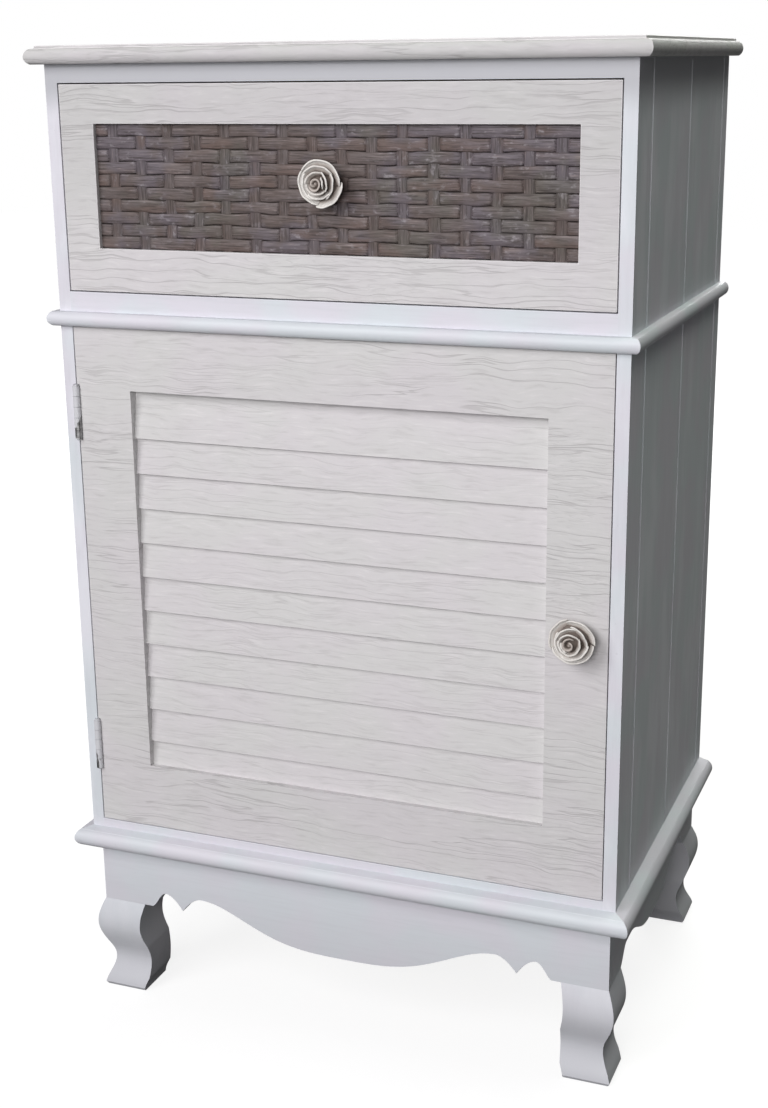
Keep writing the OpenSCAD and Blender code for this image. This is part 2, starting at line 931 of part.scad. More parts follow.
module wicker_weavers() {
    color(rattan)
        difference() {
            for (row = [0 : row_count - 1])
                translate([0, weave_y, window_z + row_pitch * row + row_gap / 2])
                    weaver(row % 2);
            drawer_screw_place() knob_screw_room(knob_screw_r + lay_play);
        }
}

module wicker_backing() {
    color(bare_wood)
        difference() {
            block([-drawer_window_half - weave_lip, backing_y, window_z - weave_lip],
                  [drawer_window_half + weave_lip, front_back_y, window_top_z + weave_lip]);
            drawer_screw_place() knob_screw_room(knob_screw_r + pin_play);
        }
}

// Right-hand drawer side, grooved for its runner and for the bottom
module drawer_side() {
    inside = box_half - drawer_side_t;
    difference() {
        block([inside, front_back_y, box_z], [box_half, box_back_y, box_top_z]);
        block([box_half - runner_groove, runner_y - slide_play, runner_z - slide_play],
              [box_half + cut, box_back_y + cut, runner_z + runner_h + slide_play]);
        block([inside - cut, front_back_y - cut, bottom_z],
              [inside + bottom_tongue, box_back_y + cut, bottom_z + drawer_bottom_t]);
    }
}

bottom_tongue = 4;

module drawer_side_right() {
    color(bare_wood) drawer_side();
}

module drawer_side_left() {
    color(bare_wood) mirror([1, 0, 0]) drawer_side();
}

module drawer_back() {
    inside = box_half - drawer_side_t;
    color(bare_wood)
        block([-inside, box_back_y - drawer_side_t, bottom_z + drawer_bottom_t],
              [inside, box_back_y, box_top_z]);
}

module drawer_bottom() {
    inside = box_half - drawer_side_t + bottom_tongue;
    color(bare_wood)
        block([-inside, front_back_y, bottom_z], [inside, box_back_y, bottom_z + drawer_bottom_t]);
}

// ---- Knobs ----

knob_head_h = 2.2;
knob_head_r = 4;

// Places of the knob screws: the axis runs out of the face, from the face's own plane at z = 0
module drawer_screw_place() {
    translate([0, face_y + weave_recess, drawer_knob_z]) rotate([90, 0, 0]) children();
}

module door_screw_place() {
    translate([door_knob_x, face_y, door_knob_z]) rotate([90, 0, 0]) children();
}

module knob_screw_room(r) {
    translate([0, 0, -front_t - cut]) cylinder(h = front_t + 2 * cut, r = r);
}

// A screw with a round flat head, through wood that is through thick, into a knob
module knob_screw(through) {
    translate([0, 0, -through]) cylinder(h = through + knob_screw_reach - 1, r = knob_screw_r);
    translate([0, 0, -through - knob_head_h]) cylinder(h = knob_head_h, r = knob_head_r);
}

// Section of one petal: 2D, radius along +X, height along +Y, rolled outwards at the lip
function petal_line(r, z, h, roll) = [
    for (i = [0 : petal_steps]) let (t = i / petal_steps, a = 90 * t)
        [r - roll * (1 - sin(a)) - (r * 0.42) * (1 - t) * (1 - t), z + h * sin(a)]
];

petal_steps = 6;
petal_t = 1.5;

// Petals from the outside in, seen from the front, in shares of the knob's radius and height:
// [start and sweep in degrees, radius of the lip, height of the lip, how far its start stands out]
petals = [
    [262, 124, 0.97, 0.60, 0.12], [352, 166, 0.92, 0.58, 0.06], [140, 140, 0.89, 0.56, 0.06],
    [316, 150, 0.70, 0.74, 0.05], [86, 140, 0.67, 0.72, 0.05], [196, 140, 0.65, 0.73, 0.05],
    [300, 120, 0.40, 0.88, 0.05], [30, 140, 0.46, 0.84, 0.03], [150, 170, 0.43, 0.85, 0.03],
    [200, 250, 0.27, 0.94, 0.03]
];

// How far the door's knob is turned against the drawer's
door_knob_turn = -154;

module petal_section(r, z, h, roll) {
    line = petal_line(r, z, h, roll);
    polygon(concat(
        line,
        [[line[petal_steps][0] - 0.2, line[petal_steps][1] + petal_t * 0.6]],
        [for (i = [petal_steps : -1 : 0]) [line[i][0] - petal_t, line[i][1] + petal_t * 0.3]]
    ));
}

// One petal: a part turn about an axis that lies towards the petal's start, cut round at its ends
module petal(first, sweep, lip, top, out) {
    r = knob_r * lip;
    low = knob_h * top * 0.4;
    rise = knob_h * top * 0.6;
    core = r * 0.1;
    rotate([0, 0, first])
        translate([knob_r * out, 0, 0])
            intersection() {
                rotate_extrude(angle = sweep) petal_section(r, low, rise, r * 0.13);
                rotate([0, 0, sweep / 2])
                    translate([core, 0, low])
                        sphere(r = norm([r - core, rise]) + petal_t / 2, $fn = 64);
            }
}

// A rose: a cup on a round foot, three rings of overlapping petals and a rolled bud
module rose_knob() {
    foot_r = knob_r * 0.55;
    difference() {
        union() {
            rotate_extrude()
                polygon([
                    [0, 0], [foot_r, 0], [foot_r, 2], [knob_r * 0.62, knob_h * 0.22],
                    [knob_r * 0.80, knob_h * 0.40], [knob_r * 0.66, knob_h * 0.52],
                    [knob_r * 0.46, knob_h * 0.62], [knob_r * 0.30, knob_h * 0.70], [0, knob_h * 0.74]
                ]);
            for (p = petals) petal(p[0], p[1], p[2], p[3], p[4]);
            rotate_extrude()
                polygon([
                    [0, knob_h * 0.5], [knob_r * 0.12, knob_h * 0.5], [knob_r * 0.14, knob_h * 0.88],
                    [knob_r * 0.09, knob_h * 0.97], [0, knob_h]
                ]);
        }
        translate([0, 0, -cut]) cylinder(h = cut + knob_screw_reach, r = knob_screw_r + pin_play);
    }
}

module drawer_rose_knob() {
    color(resin) drawer_screw_place() rose_knob();
}

module drawer_knob_screw() {
    color(steel) drawer_screw_place() knob_screw(front_t - weave_recess);
}

module door_rose_knob() {
    color(resin) door_screw_place() rotate([0, 0, door_knob_turn]) rose_knob();
}

module door_knob_screw() {
    color(steel) door_screw_place() knob_screw(front_t);
}

// ---- Door ----

// Section of a slat whose lower edge is at z: 2D, depth along +X from the door's face, up along +Y
module slat_section(z, high, play = 0) {
    polygon([
        [slat_recess - play, z], [slat_recess + slat_t + play, z],
        [slat_recess + slat_t + slat_lean * high + play, z + high],
        [slat_recess + slat_lean * high - play, z + high]
    ]);
}

function slat_z(i) = door_window_top_z - slat_first - slat_pitch * i;
function slat_h(i) = i == 0 ? slat_first + slat_lap : slat_pitch + slat_lap;

// All slats as one stack between x = -half and x = half; the last one is cut to stand on the rail
module slats(half, play = 0) {
    for (i = [0 : slat_count - 1])
        if (slat_z(i) + slat_h(i) > door_window_z)
            intersection() {
                translate([-half, face_y, 0])
                    rotate([90, 0, 90])
                        linear_extrude(2 * half) slat_section(slat_z(i), slat_h(i), play);
                block([-half, face_y, door_window_z], [half, front_back_y, door_top_z]);
            }
}

module louvre_slats() {
    color(crackle) slats(door_window_half + slat_housing);
}

module door_stile(side) {
    difference() {
        mirror([side < 0 ? 1 : 0, 0, 0])
            block([door_window_half, face_y, door_z], [front_half, front_back_y, door_top_z]);
        slats(door_window_half + slat_housing);
    }
}

module door_stile_left() {
    color(crackle)
        difference() {
            door_stile(-1);
            hinge_places() door_leaf_room();
            hinge_places() leaf_screw_places(1) wood_screw(leaf_screw_l, pin_play);
        }
}

module door_stile_right() {
    color(crackle)
        difference() {
            door_stile(1);
            door_screw_place() knob_screw_room(knob_screw_r + pin_play);
            strike_screw_place() wood_screw(strike_screw_l, pin_play);
        }
}

module door_rail_top() {
    color(crackle)
        difference() {
            block([-door_window_half, face_y, door_window_top_z],
                  [door_window_half, front_back_y, door_top_z]);
            slats(door_window_half);
        }
}

module door_rail_bottom() {
    color(crackle)
        block([-door_window_half, face_y, door_z], [door_window_half, front_back_y, door_window_z]);
}

strike_w = 9;
strike_l = 30;
strike_screw_l = 9;
strike_edge = 3;

// Screw of the strike plate, from the door's back towards its face
module strike_screw_place() {
    translate([front_half - strike_edge - strike_w / 2, front_back_y + strike_t, door_knob_z])
        rotate([90, 0, 0]) children();
}

module strike_plate() {
    x = front_half - strike_edge;
    color(steel)
        difference() {
            block([x - strike_w, front_back_y, door_knob_z - strike_l / 2],
                  [x, front_back_y + strike_t, door_knob_z + strike_l / 2]);
            strike_screw_place() wood_screw(strike_screw_l, pin_play);
        }
}

module door_screws() {
    color(steel) {
        hinge_places() leaf_screw_places(1) wood_screw(leaf_screw_l);
        strike_screw_place() wood_screw(strike_screw_l);
    }
}

top_board();
side_panel_left();
side_panel_right();
back_panel();
front_rail_top();
front_rail_middle();
front_rail_bottom();
back_rail_top();
divider_board();
floor_board();
waist_moulding_front();
waist_moulding_left();
waist_moulding_right();
base_moulding_front();
base_moulding_left();
base_moulding_right();
apron_front();
apron_left();
apron_right();
apron_back();
leg_front_left();
leg_front_right();
leg_back_left();
leg_back_right();
drawer_runner_left();
drawer_runner_right();
runner_screws();
top_screws();
magnet_catch();
catch_screws();
hinge_frame_leaf_upper();
hinge_frame_leaf_lower();
hinge_pin_upper();
hinge_pin_lower();
hinge_frame_screws();
drawer_rail_top();
drawer_rail_bottom();
drawer_stile_left();
drawer_stile_right();
wicker_stakes();
wicker_weavers();
wicker_backing();
drawer_side_left();
drawer_side_right();
drawer_back();
drawer_bottom();
drawer_rose_knob();
drawer_knob_screw();
door_stile_left();
door_stile_right();
door_rail_top();
door_rail_bottom();
louvre_slats();
door_rose_knob();
door_knob_screw();
hinge_door_leaf_upper();
hinge_door_leaf_lower();
door_screws();
strike_plate();
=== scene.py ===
"""A painted bedside pot cupboard: its paints, woven cane, rose knobs, hinges and stage."""
import json
import math

import bmesh
import bpy
from bpy.props import FloatProperty, FloatVectorProperty, IntProperty, PointerProperty
from mathutils import Euler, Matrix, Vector
from mathutils.bvhtree import BVHTree


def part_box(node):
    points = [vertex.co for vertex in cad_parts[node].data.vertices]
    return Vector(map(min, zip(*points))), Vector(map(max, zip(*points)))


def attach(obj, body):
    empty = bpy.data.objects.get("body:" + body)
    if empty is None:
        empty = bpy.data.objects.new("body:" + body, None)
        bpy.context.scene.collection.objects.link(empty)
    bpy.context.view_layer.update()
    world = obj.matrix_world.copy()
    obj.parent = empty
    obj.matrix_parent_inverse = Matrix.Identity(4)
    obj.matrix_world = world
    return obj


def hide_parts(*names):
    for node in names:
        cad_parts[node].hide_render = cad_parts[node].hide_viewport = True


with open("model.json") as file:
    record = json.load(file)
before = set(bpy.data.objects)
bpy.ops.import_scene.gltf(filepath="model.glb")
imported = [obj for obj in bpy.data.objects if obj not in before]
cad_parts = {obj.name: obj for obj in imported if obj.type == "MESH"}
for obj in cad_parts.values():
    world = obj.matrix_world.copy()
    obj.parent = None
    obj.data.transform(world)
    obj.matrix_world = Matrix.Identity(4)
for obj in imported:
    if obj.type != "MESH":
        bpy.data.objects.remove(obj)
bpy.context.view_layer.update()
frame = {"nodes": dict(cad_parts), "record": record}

bl_info = {
    "name": "Bedside pot cupboard",
    "version": (1, 0, 0),
    "blender": (4, 5, 0),
    "location": "View3D > Sidebar > Cupboard",
    "description": "Dresses a painted pot cupboard with crackle paint, woven cane and rose knobs",
    "category": "Object",
}

NODES = frame["nodes"]
RECORD = frame["record"]
BODY_OF = {name: body for body, names in RECORD["behaviour"]["bodies"].items() for name in names}
SLOT_OF = {part["node"]: part["material_slot"] for part in RECORD["subparts"]}

HINGES = [
    "hinge_frame_leaf_upper", "hinge_frame_leaf_lower",
    "hinge_door_leaf_upper", "hinge_door_leaf_lower",
    "hinge_pin_upper", "hinge_pin_lower",
]
STAKES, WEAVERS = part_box("wicker_stakes"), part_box("wicker_weavers")

# Frames whose boards are glued up and painted as one, so that no joint shows
GLUED = {
    "drawer_frame": [
        "drawer_rail_top", "drawer_rail_bottom", "drawer_stile_left", "drawer_stile_right"],
    "door_frame": ["door_rail_top", "door_rail_bottom", "door_stile_left", "door_stile_right"],
}
# How pieces are marked for their paint, by how their names start: brushed up and down, or with
# fewer cracks
MARKS = {"upright": ("side_panel", "leg"), "calm": ("louvre",)}


def nodes_in(slot):
    """The CAD nodes that the record gives this material slot, in its own order."""
    return [name for name, its_slot in SLOT_OF.items() if its_slot == slot]


# ---- Settings ----

class PaintSettings(bpy.types.PropertyGroup):
    smooth: FloatVectorProperty(
        name="Smooth paint", description="Colour of the carcass, the mouldings, aprons and legs",
        default=(0.706, 0.716, 0.756), subtype="COLOR", min=0, max=1)
    crackle: FloatVectorProperty(
        name="Crackle paint", description="Colour of the top board, the drawer front and the door",
        default=(0.657, 0.641, 0.644), subtype="COLOR", min=0, max=1)
    streak: FloatVectorProperty(
        name="Streaks", description="Colour of the undercoat that shows in the crackle",
        default=(0.470, 0.455, 0.455), subtype="COLOR", min=0, max=1)
    softening: FloatProperty(
        name="Softened edges", description="How far the edges of the boards are rubbed round",
        default=0.0005, unit="LENGTH", min=0.0001, max=0.002)
    sharp: FloatProperty(
        name="Sharp from", description="Edges that turn more than this are softened",
        default=math.radians(34), subtype="ANGLE", min=0.1, max=1.5)


class WeaveSettings(bpy.types.PropertyGroup):
    stakes: IntProperty(
        name="Stakes", description="Number of upright stakes", default=16, min=2)
    rows: IntProperty(
        name="Rows", description="Number of rows of weavers", default=10, min=2)
    stake_width: FloatProperty(
        name="Stake width", description="Width of a stake",
        default=0.0083, unit="LENGTH", min=0.002)
    strand_gap: FloatProperty(
        name="Gap", description="Gap between two rows",
        default=0.0001, unit="LENGTH", min=0.0)
    strand_thickness: FloatProperty(
        name="Thickness", description="Thickness of a weaver in its middle",
        default=0.0019, unit="LENGTH", min=0.0005)
    bend: FloatProperty(
        name="Bend", description="Length over which a weaver dips behind a stake",
        default=0.0018, unit="LENGTH", min=0.001)
    light: FloatVectorProperty(
        name="Light cane", description="Lighter colour of the cane",
        default=(0.153, 0.125, 0.121), subtype="COLOR", min=0, max=1)
    dark: FloatVectorProperty(
        name="Dark cane", description="Darker colour of the cane",
        default=(0.125, 0.096, 0.088), subtype="COLOR", min=0, max=1)


class RoseSettings(bpy.types.PropertyGroup):
    resin: FloatVectorProperty(
        name="Resin", description="Colour of the petals",
        default=(0.80, 0.775, 0.735), subtype="COLOR", min=0, max=1)
    # the folds are darkened by a brown wash and by painted shade
    wash_and_shade: FloatVectorProperty(
        name="Wash", description="Colour of the wash that lies in the folds",
        default=(0.130, 0.103, 0.088), subtype="COLOR", min=0, max=1)
    radius: FloatProperty(
        name="Radius", description="Radius over the outer petals",
        default=0.016, unit="LENGTH", min=0.01)
    spokes: IntProperty(
        name="Spokes", description="Points round the cup", default=72, min=24)


class HingeSettings(bpy.types.PropertyGroup):
    softening: FloatProperty(
        name="Softened edges", description="How far the edges of the hinges are rounded",
        default=0.00018, unit="LENGTH", min=0.00005, max=0.0005)
    metal: FloatVectorProperty(
        name="Metal", description="Colour of the zinc plating",
        default=(0.50, 0.50, 0.50), subtype="COLOR", min=0, max=1)


class StageSettings(bpy.types.PropertyGroup):
    key: FloatProperty(
        name="Key light", description="Power of the soft light at the front left",
        default=48, unit="POWER", min=0)
    fill: FloatProperty(
        name="Fill light", description="Power of the soft light at the front right",
        default=29, unit="POWER", min=0)
    top: FloatProperty(
        name="Top light", description="Power of the soft light overhead",
        default=26, unit="POWER", min=0)
    back: FloatProperty(
        name="Back light", description="Power of the soft light behind",
        default=46, unit="POWER", min=0)
    ambient: FloatProperty(
        name="Ambient", description="Light from all round", default=0.04, min=0)
    lens: FloatProperty(
        name="Lens", description="Focal length of the camera",
        default=54.907, unit="CAMERA", min=1)


# ---- Node trees ----

class Nodes:
    """A node tree, with short calls for its nodes."""

    def __init__(self, tree):
        self.tree = tree

    def feed(self, socket, value):
        """Link a socket to another's output, or set it; a colour gets its alpha."""
        if isinstance(value, bpy.types.NodeSocket):
            self.tree.links.new(value, socket)
        elif socket.type == "RGBA":
            socket.default_value = (*value[:3], 1.0)
        else:
            socket.default_value = value

    def add(self, kind, inputs=None, **settings):
        node = self.tree.nodes.new(kind)
        for key, value in settings.items():
            setattr(node, key, value)
        for key, value in (inputs or {}).items():
            self.feed(node.inputs[key], value)
        return node

    def value(self, operation, a, b=0.0):
        return Nodes.add(self, "ShaderNodeMath", {0: a, 1: b}, operation=operation).outputs[0]

    def plus(self, a, b):
        return self.value("ADD", a, b)

    def minus(self, a, b):
        return self.value("SUBTRACT", a, b)

    def times(self, a, b):
        return self.value("MULTIPLY", a, b)


class Shader(Nodes):
    """A material and its node tree, whose nodes are named without their ShaderNode."""

    def __init__(self, name):
        self.material = bpy.data.materials.new(name)
        self.material.use_nodes = True
        super().__init__(self.material.node_tree)
        self.tree.nodes.clear()
        self.surface = self.add("BsdfPrincipled")
        self.add("OutputMaterial", {"Surface": self.surface.outputs["BSDF"]})
        self.place = self.add("TexCoord").outputs["Object"]

    def add(self, kind, inputs=None, **settings):
        return super().add("ShaderNode" + kind, inputs, **settings)

    def attribute(self, name):
        return self.add("Attribute", attribute_name=name).outputs["Fac"]

    def height(self):
        """Height above the floor, in metres, because every piece's object sits at the origin."""
        return self.add("SeparateXYZ", {0: self.place}).outputs[2]

    def offset(self, where, x=0.0, y=0.0, z=0.0):
        amount = self.add("CombineXYZ", {"X": x, "Y": y, "Z": z}).outputs[0]
        return self.add("VectorMath", {0: where, 1: amount}, operation="ADD").outputs[0]

    def shifted(self, amount):
        """Object coordinates moved by an amount of its own for each piece."""
        return self.offset(self.place, amount, amount, amount)

    def noise(self, where, scale, detail, roughness=0.5):
        return self.add("TexNoise", {
            "Vector": where, "Scale": scale, "Detail": detail, "Roughness": roughness,
        }).outputs["Fac"]

    def grain(self, where, scales, detail, roughness=0.5):
        """Noise with a scale of its own along each axis."""
        stretched = self.add("Mapping", {"Vector": where, "Scale": scales}).outputs["Vector"]
        return self.noise(stretched, 1.0, detail, roughness)

    def ramp(self, factor, low, high, to_low=0.0, to_high=1.0):
        """A smooth step: to_low where the factor is low, to_high where it is high."""
        return self.add("MapRange", {
            "Value": factor, "From Min": low, "From Max": high, "To Min": to_low,
            "To Max": to_high}, interpolation_type="SMOOTHSTEP").outputs["Result"]

    def crack(self, factor, full, none):
        """Thin lines where a texture passes through its middle."""
        from_middle = self.value("ABSOLUTE", self.minus(factor, 0.5))
        return self.ramp(from_middle, full, none, 1.0, 0.0)

    def mix(self, factor, a, b):
        return self.add("Mix", {0: factor, 6: a, 7: b}, data_type="RGBA").outputs[2]

    def bump(self, height, strength, distance):
        return self.add("Bump", {
            "Height": height, "Strength": strength, "Distance": distance}).outputs["Normal"]

    def finish(self, color, roughness, normal=None, metallic=0.0, specular=0.5):
        for key, value in {"Base Color": color, "Roughness": roughness, "Normal": normal,
                           "Metallic": metallic, "Specular IOR Level": specular}.items():
            if value is not None:
                self.feed(self.surface.inputs[key], value)
        return self.material


# ---- Materials ----

# Heights in metres between which shade is painted into the paint: down to the floor, up to the top
# board and, where it is crackled, up past the waist
SHADE_TO_FLOOR, SHADE_UNDER_TOP, SHADE_PAST_WAIST = (0.0, 0.15), (0.652, 0.676), (0.55, 0.64)


def tinted(color, share):
    """A colour times a share, or times a share for each channel."""
    shares = share if isinstance(share, tuple) else (share,) * 3
    return [min(1.0, channel * its_share) for channel, its_share in zip(color, shares)]


def smooth_paint(color):
    """Satin paint in faint blue and lilac clouds, with the drag of a brush along each board and
    pale worn streaks on the upright ones. It has painted shade near the floor and under the top
    board, and a painted highlight, partly rubbed wear, on its rounded edges."""
    s = Shader("smooth_paint")
    where = s.shifted(s.attribute("piece_shift"))
    upright = s.attribute("upright")
    drag = s.add("Mix", {0: upright, 2: s.grain(where, (24, 24, 420), 3.0, 0.55),
                         3: s.grain(where, (420, 420, 24), 3.0, 0.55)},
                 data_type="FLOAT").outputs[0]
    cloud = s.noise(where, 17.0, 2.0)
    specks = s.noise(where, 420.0, 2.0)
    worn = s.ramp(s.grain(where, (34, 34, 9), 4.0, 0.60), 0.44, 0.66, 0.0, 0.65)
    height = s.height()
    bluish = tinted(color, (0.975, 1.022, 1.012))
    lilac = tinted(color, (1.012, 0.978, 1.002))
    tone = s.mix(s.ramp(cloud, 0.38, 0.62), bluish, lilac)
    for cover, share in (
            (s.ramp(drag, 0.40, 0.75, 0.0, 0.20), 0.80),
            (s.times(worn, upright), 1.16),
            # painted shade near the floor and under the top board
            (s.ramp(height, *SHADE_TO_FLOOR, 0.95, 0.0), 0.84),
            (s.ramp(height, *SHADE_UNDER_TOP), 0.71),
            (s.ramp(specks, 0.72, 0.80, 0.0, 0.25), 0.70),
            # painted highlight on the rounded edges, partly rubbed wear
            (s.times(s.attribute("edge"), 0.45), 1.18)):
        tone = s.mix(cover, tone, tinted(color, share))
    roughness = s.ramp(cloud, 0.3, 0.7, 0.40, 0.50)
    return s.finish(tone, roughness, s.bump(drag, 0.10, 0.0003), specular=0.3)


def crackle_paint(color, streak):
    """Brushed paint in faint clouds, with long and short hair cracks that run along X and gather
    in places. It has painted shade above the waist and a painted highlight, partly rubbed wear, on
    its rounded edges."""
    s = Shader("crackle_paint")
    where = s.shifted(s.attribute("piece_shift"))
    bent = s.offset(where, z=s.times(s.noise(where, 22.0, 2.0), 0.012))
    fine = s.grain(bent, (60, 170, 520), 3.0, 0.6)
    gathered = s.grain(where, (7, 12, 20), 2.0)
    cloud = s.noise(where, 13.0, 2.0)
    long = s.crack(s.grain(bent, (6.5, 60, 150), 2.0, 0.55), 0.004, 0.022)
    short = s.crack(s.grain(bent, (34, 120, 330), 2.0), 0.006, 0.032)
    cracks = s.value("MAXIMUM", s.times(long, s.ramp(gathered, 0.35, 0.53, 0.25, 1.0)),
                     s.times(short, s.ramp(gathered, 0.52, 0.66, 0.0, 0.4)))
    cracks = s.times(cracks, s.ramp(s.attribute("calm"), 0.0, 1.0, 1.0, 0.5))
    greenish = tinted(color, (0.990, 1.006, 0.992))
    lilac = tinted(color, (1.003, 0.993, 1.008))
    tone = s.mix(s.ramp(cloud, 0.38, 0.62), greenish, lilac)
    tone = s.mix(s.ramp(fine, 0.50, 0.74, 0.0, 0.36), tone, streak)
    tone = s.mix(s.ramp(fine, 0.44, 0.28, 0.0, 0.60), tone, tinted(color, 1.12))
    tone = s.mix(s.times(cracks, 0.44), tone, tinted(streak, 0.90))
    # painted shade above the waist
    shaded_tone = s.add("VectorMath", {0: tone, 1: (0.89, 0.89, 0.89)}, operation="MULTIPLY").outputs[0]
    tone = s.mix(s.ramp(s.height(), *SHADE_PAST_WAIST), tone, shaded_tone)
    # painted highlight on the rounded edges, partly rubbed wear
    tone = s.mix(s.times(s.attribute("edge"), 0.80), tone, tinted(color, 1.18))
    relief = s.minus(s.times(fine, -0.25), cracks)
    roughness = s.ramp(fine, 0.4, 0.75, 0.50, 0.66)
    return s.finish(tone, roughness, s.bump(relief, 0.50, 0.0004), specular=0.25)


def plain_wood():
    """Sanded pine of the parts that nobody paints."""
    s = Shader("plain_wood")
    rings = s.grain(s.place, (4, 26, 60), 5.0, 0.6)
    pores = s.grain(s.place, (30, 400, 700), 3.0, 0.6)
    tone = s.mix(s.ramp(rings, 0.35, 0.68), (0.552, 0.381, 0.209), (0.730, 0.565, 0.352))
    tone = s.mix(s.ramp(pores, 0.5, 0.75, 0.0, 0.4), tone, (0.352, 0.216, 0.107))
    return s.finish(tone, s.ramp(pores, 0.3, 0.8, 0.55, 0.72), s.bump(pores, 0.2, 0.0004))


def stained_board():
    """The board behind the weave, near black: painted shade for the gaps between strands, so that
    the board doesn't show there.
    """
    s = Shader("stained_board")
    grain = s.grain(s.place, (30, 400, 700), 4.0, 0.6)
    tone = s.mix(s.ramp(grain, 0.35, 0.7), (0.020, 0.015, 0.013), (0.048, 0.037, 0.032))
    roughness = s.ramp(grain, 0.3, 0.7, 0.65, 0.8)
    return s.finish(tone, roughness, s.bump(grain, 0.2, 0.0003), specular=0.2)


def hinge_metal(color):
    """Zinc-plated steel, dulled, with some of the white paint brushed over it."""
    s = Shader("hinge_metal")
    spots = s.noise(s.place, 320.0, 4.0, 0.6)
    painted = s.ramp(s.grain(s.place, (130, 130, 52), 3.0), 0.40, 0.46)
    tone = s.mix(s.ramp(spots, 0.3, 0.7), tinted(color, 0.45), tinted(color, 1.05))
    tone = s.mix(painted, tone, (0.66, 0.665, 0.69))
    return s.finish(tone, s.ramp(spots, 0.3, 0.7, 0.30, 0.52), s.bump(spots, 0.2, 0.0002),
                    metallic=s.ramp(painted, 0.0, 1.0, 0.85, 0.0))


def screw_metal():
    """Bright zinc with the fine marks of the die."""
    s = Shader("screw_metal")
    grain = s.noise(s.place, 500.0, 3.0, 0.6)
    tone = s.mix(grain, (0.262, 0.266, 0.275), (0.515, 0.515, 0.503))
    roughness = s.ramp(grain, 0.3, 0.7, 0.25, 0.45)
    return s.finish(tone, roughness, s.bump(grain, 0.1, 0.0001), metallic=1.0)


def catch_plastic():
    """Moulded white plastic with a fine grain."""
    s = Shader("catch_plastic")
    grain = s.noise(s.place, 900.0, 2.0)
    tone = s.mix(s.ramp(grain, 0.3, 0.7), (0.730, 0.723, 0.687), (0.807, 0.799, 0.768))
    return s.finish(tone, s.ramp(grain, 0.3, 0.7, 0.38, 0.5), s.bump(grain, 0.15, 0.0001))


def cane(name, light, dark, along):
    """Split cane that runs along an axis: patches of violet, moss and rust over it, dark and pale
    fibres, flecks of old wash, and painted shade on the rims where the strands meet."""
    s = Shader(name)
    where = s.shifted(s.attribute("strand"))

    def stretched(lengthwise, across, detail, roughness):
        scales = [lengthwise if axis == along else across for axis in range(3)]
        return s.grain(where, scales, detail, roughness)

    fibre = stretched(60, 1300, 4.0, 0.65)
    patch = stretched(34, 90, 3.0, 0.6)
    rust = stretched(22, 60, 2.0, 0.5)
    fleck = stretched(170, 340, 3.0, 0.6)
    region = s.noise(s.place, 26.0, 3.0, 0.6)
    moss = s.noise(s.place, 34.0, 2.0)
    rim = s.value("ABSOLUTE", s.attribute("edge"))
    pale = s.times(s.ramp(fleck, 0.54, 0.80, 0.0, 0.62), s.ramp(region, 0.40, 0.58, 0.25, 1.0))
    tone = s.mix(s.ramp(patch, 0.36, 0.64), dark, light)
    for cover, shade in (
            (s.ramp(region, 0.44, 0.60, 0.0, 0.75), tinted(light, (1.00, 1.07, 1.30))),
            (s.ramp(moss, 0.50, 0.66, 0.0, 0.60), tinted(light, (0.84, 0.96, 0.84))),
            (s.ramp(rust, 0.52, 0.68, 0.0, 0.65), tinted(light, (1.06, 0.90, 0.80))),
            (s.ramp(fibre, 0.44, 0.68, 0.0, 0.78), tinted(dark, 0.38)),
            (s.ramp(fibre, 0.42, 0.26, 0.0, 0.80), tinted(light, 2.1)),
            (pale, (0.43, 0.40, 0.425)),
            # painted shade on the rims of the strands, where they meet
            (s.ramp(rim, 0.62, 1.0, 0.0, 0.50), tinted(dark, 0.25))):
        tone = s.mix(cover, tone, shade)
    roughness = s.ramp(fibre, 0.3, 0.7, 0.45, 0.65)
    return s.finish(tone, roughness, s.bump(fibre, 0.45, 0.0004), specular=0.3)


def rose_resin(resin, wash_and_shade):
    """Cast resin, cream on the lips of the petals, darkened in the folds by a brown wash and
    painted shade.
    """
    s = Shader("rose_resin")
    mottle = s.noise(s.place, 420.0, 4.0, 0.6)
    smear = s.noise(s.place, 150.0, 3.0, 0.55)
    depth = s.plus(s.attribute("fold"), s.times(s.minus(smear, 0.5), 0.45))
    tone = s.mix(s.ramp(mottle, 0.35, 0.7), tinted(resin, 0.92), tinted(resin, 1.05))
    # brown wash and painted shade, deeper in the folds
    tone = s.mix(s.ramp(depth, 0.10, 0.52, 0.0, 0.62), tone, tinted(wash_and_shade, 2.9))
    tone = s.mix(s.ramp(depth, 0.45, 0.85, 0.0, 0.94), tone, wash_and_shade)
    roughness = s.ramp(mottle, 0.3, 0.7, 0.42, 0.60)
    return s.finish(tone, roughness, s.bump(mottle, 0.22, 0.0003), specular=0.4)


# ---- Boards ----

# Points closer than this, in metres, are one, and faces that turn less than this are one
SAME_POINT, SAME_FACE = 1e-6, math.radians(0.05)
# An edge belongs to a joint if another board is this near, in metres, at one of these shares
# of its length
JOINT_REACH, JOINT_SPOTS = 3e-5, (0.02, 0.15, 0.5, 0.85, 0.98)
# Steps between the grains of two nodes and of two solids in a node, and the distance in metres
# over which the grains are spread
NODE_STEP, SOLID_STEP, GRAIN_SPREAD = 0.731, 0.377, 4.0
# Faces across a softened edge, and the size in metres under which one is a sliver
EDGE_FACES, SLIVER = 2, 2e-6


def add_piece(name, mesh, replaced):
    """Put a finished mesh in the scene, riding on the body of the CAD nodes it stands for."""
    piece = bpy.data.objects.new(name, mesh)
    bpy.context.scene.collection.objects.link(piece)
    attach(piece, BODY_OF[replaced[0]])
    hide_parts(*replaced)


